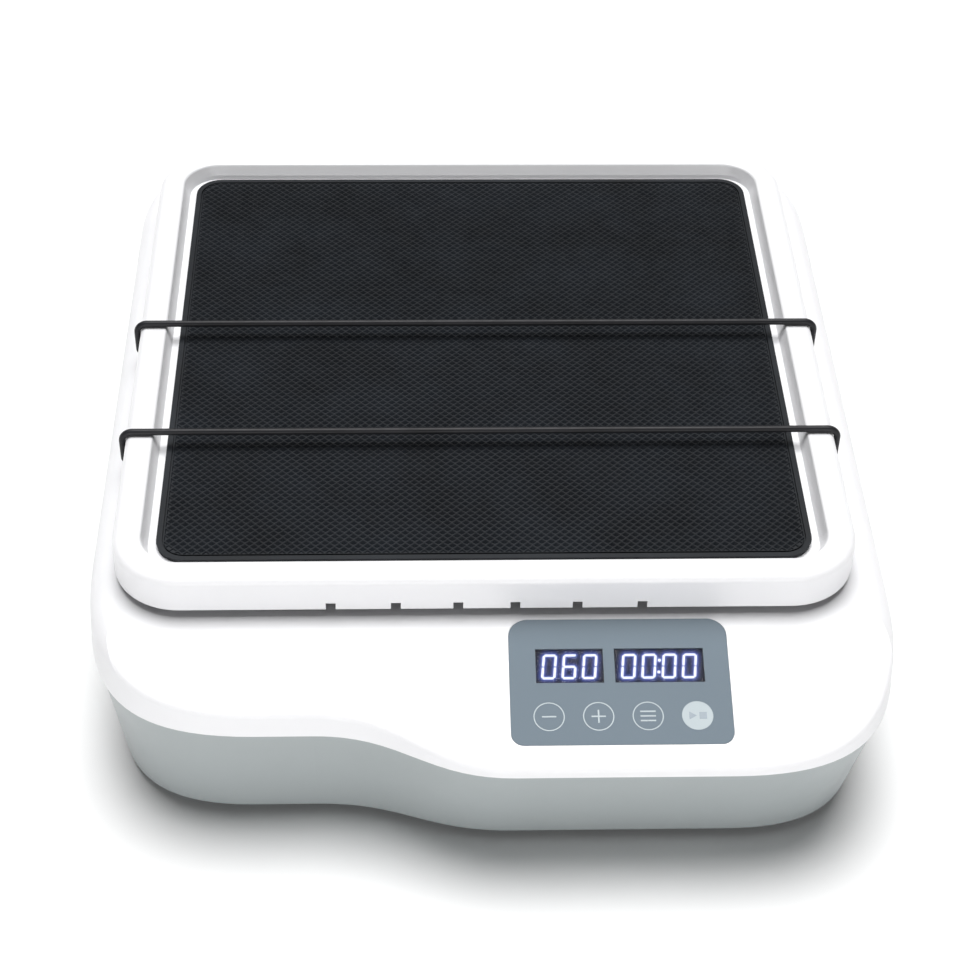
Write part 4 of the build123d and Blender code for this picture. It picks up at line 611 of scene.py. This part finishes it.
class SHAKER_OT_build_panel(ShakerOperator, bpy.types.Operator):
    """Builds the film of the control panel and its four printed keys"""
    bl_idname = "shaker.build_panel"
    bl_label = "Build Panel"

    key_radius = 5.9 * mm
    key_line = 0.42 * mm
    key_rise = 11.7 * mm
    circle_points = 64
    print_lift = 0.02 * mm
    print_height = 0.03 * mm
    bar_step = 0.002 * mm
    half_line = 0.3 * mm
    half_sign = 2.7 * mm
    half_menu = 2.9 * mm
    menu_pitch = 1.9 * mm
    arrow_radius = 1.9 * mm
    arrow_x = -2.2 * mm
    half_square = 1.4 * mm
    square_x = 2.1 * mm
    sign_on_disc = 0.04 * mm

    def execute(self, context):
        panel_color, print_color = tuple(self.colors.panel_color), tuple(self.colors.print_color)
        dress("overlay", panel_film("panel_film", panel_color))
        smooth = (0.25, 0.32)
        ink = moulded_plastic("panel_ink", print_color, rough=smooth, spread=0.01)
        dark_ink = moulded_plastic("panel_dark_ink", shade(panel_color, 1.25), rough=smooth, spread=0.01)
        minus, plus, menu, run = self.key_places()
        for number, place in enumerate((minus, plus, menu), start=1):
            self.add_ring(f"key_ring_{number}", place, ink)
        flat_bar = (0, self.half_sign, self.half_line)
        upright_bar = (0, self.half_line, self.half_sign)
        self.add_bars("minus_sign", minus, [flat_bar], ink)
        self.add_bars("plus_sign", plus, [flat_bar, upright_bar], ink)
        menu_bars = [(row * self.menu_pitch, self.half_menu, self.half_line) for row in (1, 0, -1)]
        self.add_bars("menu_sign", menu, menu_bars, ink)
        self.add_disc("run_key", run, ink)
        self.add_run_sign("run_sign", run, dark_ink)
        return {"FINISHED"}

    def key_places(self):
        """Middles of the four keys, from the touch pads below them."""
        low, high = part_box("touch_pads")
        first = low.x + touch_pad_radius - panel_middle_x
        last = high.x - touch_pad_radius - panel_middle_x
        rise = self.key_rise - panel_length / 2
        return [(first + (last - first) * step / 3, rise) for step in range(4)]

    def print_on_panel(self, name, mesh, place, ink, lift=0.0):
        """Gives a flat shape the print's thickness and lays it on the panel."""
        bmesh.ops.recalc_face_normals(mesh, faces=mesh.faces)
        upper = extruded_verts(mesh, mesh.faces[:])
        bmesh.ops.translate(mesh, vec=(0, 0, self.print_height), verts=upper)
        bmesh.ops.transform(mesh, matrix=on_panel(*place, self.print_lift + lift), verts=mesh.verts)
        finish_piece(name, mesh, "base", ink)

    def add_disc(self, name, place, ink):
        mesh = bmesh.new()
        bmesh.ops.create_circle(mesh, cap_ends=True, segments=self.circle_points, radius=self.key_radius)
        self.print_on_panel(name, mesh, place, ink)

    def add_ring(self, name, place, ink):
        mesh = bmesh.new()
        bmesh.ops.create_circle(mesh, cap_ends=True, segments=self.circle_points, radius=self.key_radius)
        face = mesh.faces[:][0]
        bmesh.ops.inset_region(mesh, faces=[face], thickness=self.key_line, depth=0, use_boundary=True)
        bmesh.ops.delete(mesh, geom=[face], context="FACES_ONLY")
        self.print_on_panel(name, mesh, place, ink)

    def add_bars(self, name, place, bars, ink):
        """Bars given by their height on the key and their half sizes, a hair above one another."""
        mesh = bmesh.new()
        for number, (y, half_x, half_y) in enumerate(bars):
            made = bmesh.ops.create_grid(mesh, x_segments=1, y_segments=1, size=1)
            bmesh.ops.scale(mesh, vec=(half_x, half_y, 1), verts=made["verts"])
            bmesh.ops.translate(mesh, vec=(0, y, number * self.bar_step), verts=made["verts"])
        self.print_on_panel(name, mesh, place, ink)

    def add_run_sign(self, name, place, ink):
        """Triangle and square of a run and stop key."""
        mesh = bmesh.new()
        arrow = bmesh.ops.create_circle(mesh, cap_ends=True, segments=3, radius=self.arrow_radius)
        bmesh.ops.rotate(mesh, cent=(0, 0, 0), matrix=Matrix.Rotation(-pi / 2, 3, "Z"),
                         verts=arrow["verts"])
        bmesh.ops.translate(mesh, vec=(self.arrow_x, 0, 0), verts=arrow["verts"])
        square = bmesh.ops.create_grid(mesh, x_segments=1, y_segments=1, size=self.half_square)
        bmesh.ops.translate(mesh, vec=(self.square_x, 0, 0), verts=square["verts"])
        self.print_on_panel(name, mesh, place, ink, self.sign_on_disc)


class SHAKER_OT_build_displays(ShakerOperator, bpy.types.Operator):
    """Builds the tinted windows' finish and the lit displays behind them"""
    bl_idname = "shaker.build_displays"
    bl_label = "Build Displays"

    face_depth = 0.86 * mm
    face_overlap = 0.6 * mm
    face_step = 0.2 * mm
    digit_pitch = 7.75 * mm
    segment_gap = 0.62 * mm
    colon_rise = 2.5 * mm
    colon_radius = 0.15 * mm
    stroke_reach = 0.68 * mm
    stroke_fade = 0.32 * mm
    halo_reach = 1.1 * mm
    halo_strength = 0.5
    halo_fall = 1.5
    segments_of = {
        "0": ("top", "upper_left", "upper_right", "lower_left", "lower_right", "bottom"),
        "1": ("upper_right", "lower_right"),
        "2": ("top", "upper_right", "middle", "lower_left", "bottom"),
        "3": ("top", "upper_right", "middle", "lower_right", "bottom"),
        "4": ("upper_left", "upper_right", "middle", "lower_right"),
        "5": ("top", "upper_left", "middle", "lower_right", "bottom"),
        "6": ("top", "upper_left", "middle", "lower_left", "lower_right", "bottom"),
        "7": ("top", "upper_right", "lower_right"),
        "8": ("top", "upper_left", "upper_right", "middle", "lower_left", "lower_right", "bottom"),
        "9": ("top", "upper_left", "upper_right", "middle", "lower_right", "bottom"),
    }

    def execute(self, context):
        settings = context.scene.shaker_display
        dress("window", window_film("display_window"))
        material = lit_display("display_face", tuple(self.colors.display_color))
        low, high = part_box("display_modules")
        left = low.x + module_margin - panel_middle_x
        right = high.x - module_margin - panel_middle_x
        speed_x = left + speed_window_width / 2
        time_x = right - time_window_width / 2
        self.add_face("speed_digits", settings.speed_text, speed_x, speed_window_width, settings, material)
        self.add_face("time_digits", settings.time_text, time_x, time_window_width, settings, material)
        return {"FINISHED"}

    def add_face(self, name, text, x, width, settings, material):
        """Fine grid over a display module, which stores how strongly each point glows."""
        columns, rows = int(width / self.face_step), int(window_height / self.face_step)
        half_width, half_height = width / 2 + self.face_overlap, window_height / 2 + self.face_overlap
        mesh = bmesh.new()
        made = bmesh.ops.create_grid(mesh, x_segments=columns, y_segments=rows, size=1)
        bmesh.ops.scale(mesh, vec=(half_width, half_height, 1), verts=made["verts"])
        strokes, dots = self.strokes(text, settings), self.colon_dots(text, settings)
        glow = mesh.verts.layers.float.new("glow")
        for vert in mesh.verts:
            vert[glow] = self.glow_at(vert.co, strokes, dots)
        y = panel_length / 2 - window_drop - window_height / 2
        bmesh.ops.transform(mesh, matrix=on_panel(x, y, -self.face_depth), verts=mesh.verts)
        finish_piece(name, mesh, "base", material)

    def glow_at(self, point, strokes, dots):
        """Full glow on a stroke or a colon dot, with a halo that dies away around it."""
        nearest = min((distance_to(point, stroke) for stroke in strokes), default=1.0)
        for dot_x, dot_y in dots:
            nearest = min(nearest, max(0.0, hypot(point.x - dot_x, point.y - dot_y) - self.colon_radius))
        core = max(0.0, min(1.0, (self.stroke_reach - nearest) / self.stroke_fade))
        halo = self.halo_strength * exp(-(nearest / self.halo_reach) ** self.halo_fall)
        return max(core, halo)

    def strokes(self, text, settings):
        """Centre lines of the lit segments."""
        half_w, half_h, gap = settings.digit_width / 2, settings.digit_height / 2, self.segment_gap
        segments = {
            "top": ((-half_w + gap, half_h), (half_w - gap, half_h)),
            "middle": ((-half_w + gap, 0), (half_w - gap, 0)),
            "bottom": ((-half_w + gap, -half_h), (half_w - gap, -half_h)),
            "upper_left": ((-half_w, half_h - gap), (-half_w, gap)),
            "upper_right": ((half_w, half_h - gap), (half_w, gap)),
            "lower_left": ((-half_w, -gap), (-half_w, -half_h + gap)),
            "lower_right": ((half_w, -gap), (half_w, -half_h + gap)),
        }
        digits = text.replace(":", "")
        lean = tan(settings.slant)
        strokes = []
        for number, digit in enumerate(digits):
            centre = (number - (len(digits) - 1) / 2) * self.digit_pitch
            for segment in self.segments_of[digit]:
                strokes.append([(x + y * lean + centre, y) for x, y in segments[segment]])
        return strokes

    def colon_dots(self, text, settings):
        """Places of the two dots of a colon, where the text has one."""
        if ":" not in text:
            return []
        digit_count = len(text.replace(":", ""))
        centre = (text.index(":") - digit_count / 2) * self.digit_pitch
        lean = tan(settings.slant)
        return [(centre + y * lean, y) for y in (self.colon_rise, -self.colon_rise)]


class SHAKER_OT_finish_drive(ShakerOperator, bpy.types.Operator):
    """Gives the chassis, the bearings, the drive and the feet their finishes"""
    bl_idname = "shaker.finish_drive"
    bl_label = "Finish Drive"

    def execute(self, context):
        turned, ground, machined = (1, 1, 12), (1, 1, 20), (1, 1, 8)
        dress("steel", brushed_metal("turned_steel", (0.55, 0.56, 0.57), turned))
        dress("zinc_screw", brushed_metal("zinc_screw", (0.66, 0.67, 0.66), rough=(0.25, 0.4), line=300.0))
        dress("bearing_steel", brushed_metal("ground_steel", (0.72, 0.73, 0.74), ground, (0.08, 0.2)))
        dress("alloy", brushed_metal("machined_alloy", (0.7, 0.71, 0.72), machined, (0.25, 0.45)))
        dress("nickel", brushed_metal("nickel_plate", (0.63, 0.6, 0.55), rough=(0.15, 0.3), line=200.0))
        dress("bronze", brushed_metal("sintered_bronze", (0.6, 0.4, 0.2), rough=(0.35, 0.5), line=900.0))
        dress("cast", cast_metal("painted_casting", (0.09, 0.09, 0.1)))
        dress("belt", rubber("belt_rubber", rgb(28, 28, 28)))
        dress("foot_rubber", rubber("foot_rubber", rgb(52, 52, 54), rough=(0.6, 0.8)))
        return {"FINISHED"}


class SHAKER_OT_finish_electronics(ShakerOperator, bpy.types.Operator):
    """Gives the boards, the switch, the inlet and the other plastic fittings their finishes"""
    bl_idname = "shaker.finish_electronics"
    bl_label = "Finish Electronics"

    def execute(self, context):
        black = moulded_plastic("black_plastic", rgb(34, 34, 36), rough=(0.35, 0.45), spread=0.1)
        dress("black_plastic", black)
        dress("ivory_plastic", moulded_plastic("ivory_plastic", rgb(226, 221, 203), spread=0.03))
        dress("board", circuit_board("solder_resist", (0.015, 0.12, 0.05)))
        dress("foil", brushed_metal("capacitor_sleeve", (0.1, 0.13, 0.22), rough=(0.25, 0.35)))
        return {"FINISHED"}


class SHAKER_PT_parts(bpy.types.Panel):
    """Lists the part builders"""
    bl_label = "Shaker"
    bl_idname = "SHAKER_PT_parts"
    bl_space_type = "VIEW_3D"
    bl_region_type = "UI"
    bl_category = "Shaker"

    def draw(self, context):
        layout = self.layout
        for operator in build_order:
            layout.operator(operator.bl_idname)
        for name, group in setting_groups:
            column = layout.column(align=True)
            for setting in group.__annotations__:
                column.prop(getattr(context.scene, name), setting)


build_order = (
    SHAKER_OT_set_stage,
    SHAKER_OT_finish_shells,
    SHAKER_OT_build_mat,
    SHAKER_OT_finish_cords,
    SHAKER_OT_build_panel,
    SHAKER_OT_build_displays,
    SHAKER_OT_finish_drive,
    SHAKER_OT_finish_electronics,
)
setting_groups = (
    ("shaker_finish", ShakerFinishSettings),
    ("shaker_mat", ShakerMatSettings),
    ("shaker_display", ShakerDisplaySettings),
    ("shaker_stage", ShakerStageSettings),
)


def register():
    for name, group in setting_groups:
        bpy.utils.register_class(group)
        setattr(bpy.types.Scene, name, bpy.props.PointerProperty(type=group))
    for operator in build_order:
        bpy.utils.register_class(operator)
    bpy.utils.register_class(SHAKER_PT_parts)


def unregister():
    bpy.utils.unregister_class(SHAKER_PT_parts)
    for operator in reversed(build_order):
        bpy.utils.unregister_class(operator)
    for name, group in reversed(setting_groups):
        delattr(bpy.types.Scene, name)
        bpy.utils.unregister_class(group)


def main():
    register()
    for operator in build_order:
        group, action = operator.bl_idname.split(".")
        getattr(getattr(bpy.ops, group), action)()


if __name__ == "__main__":
    main()
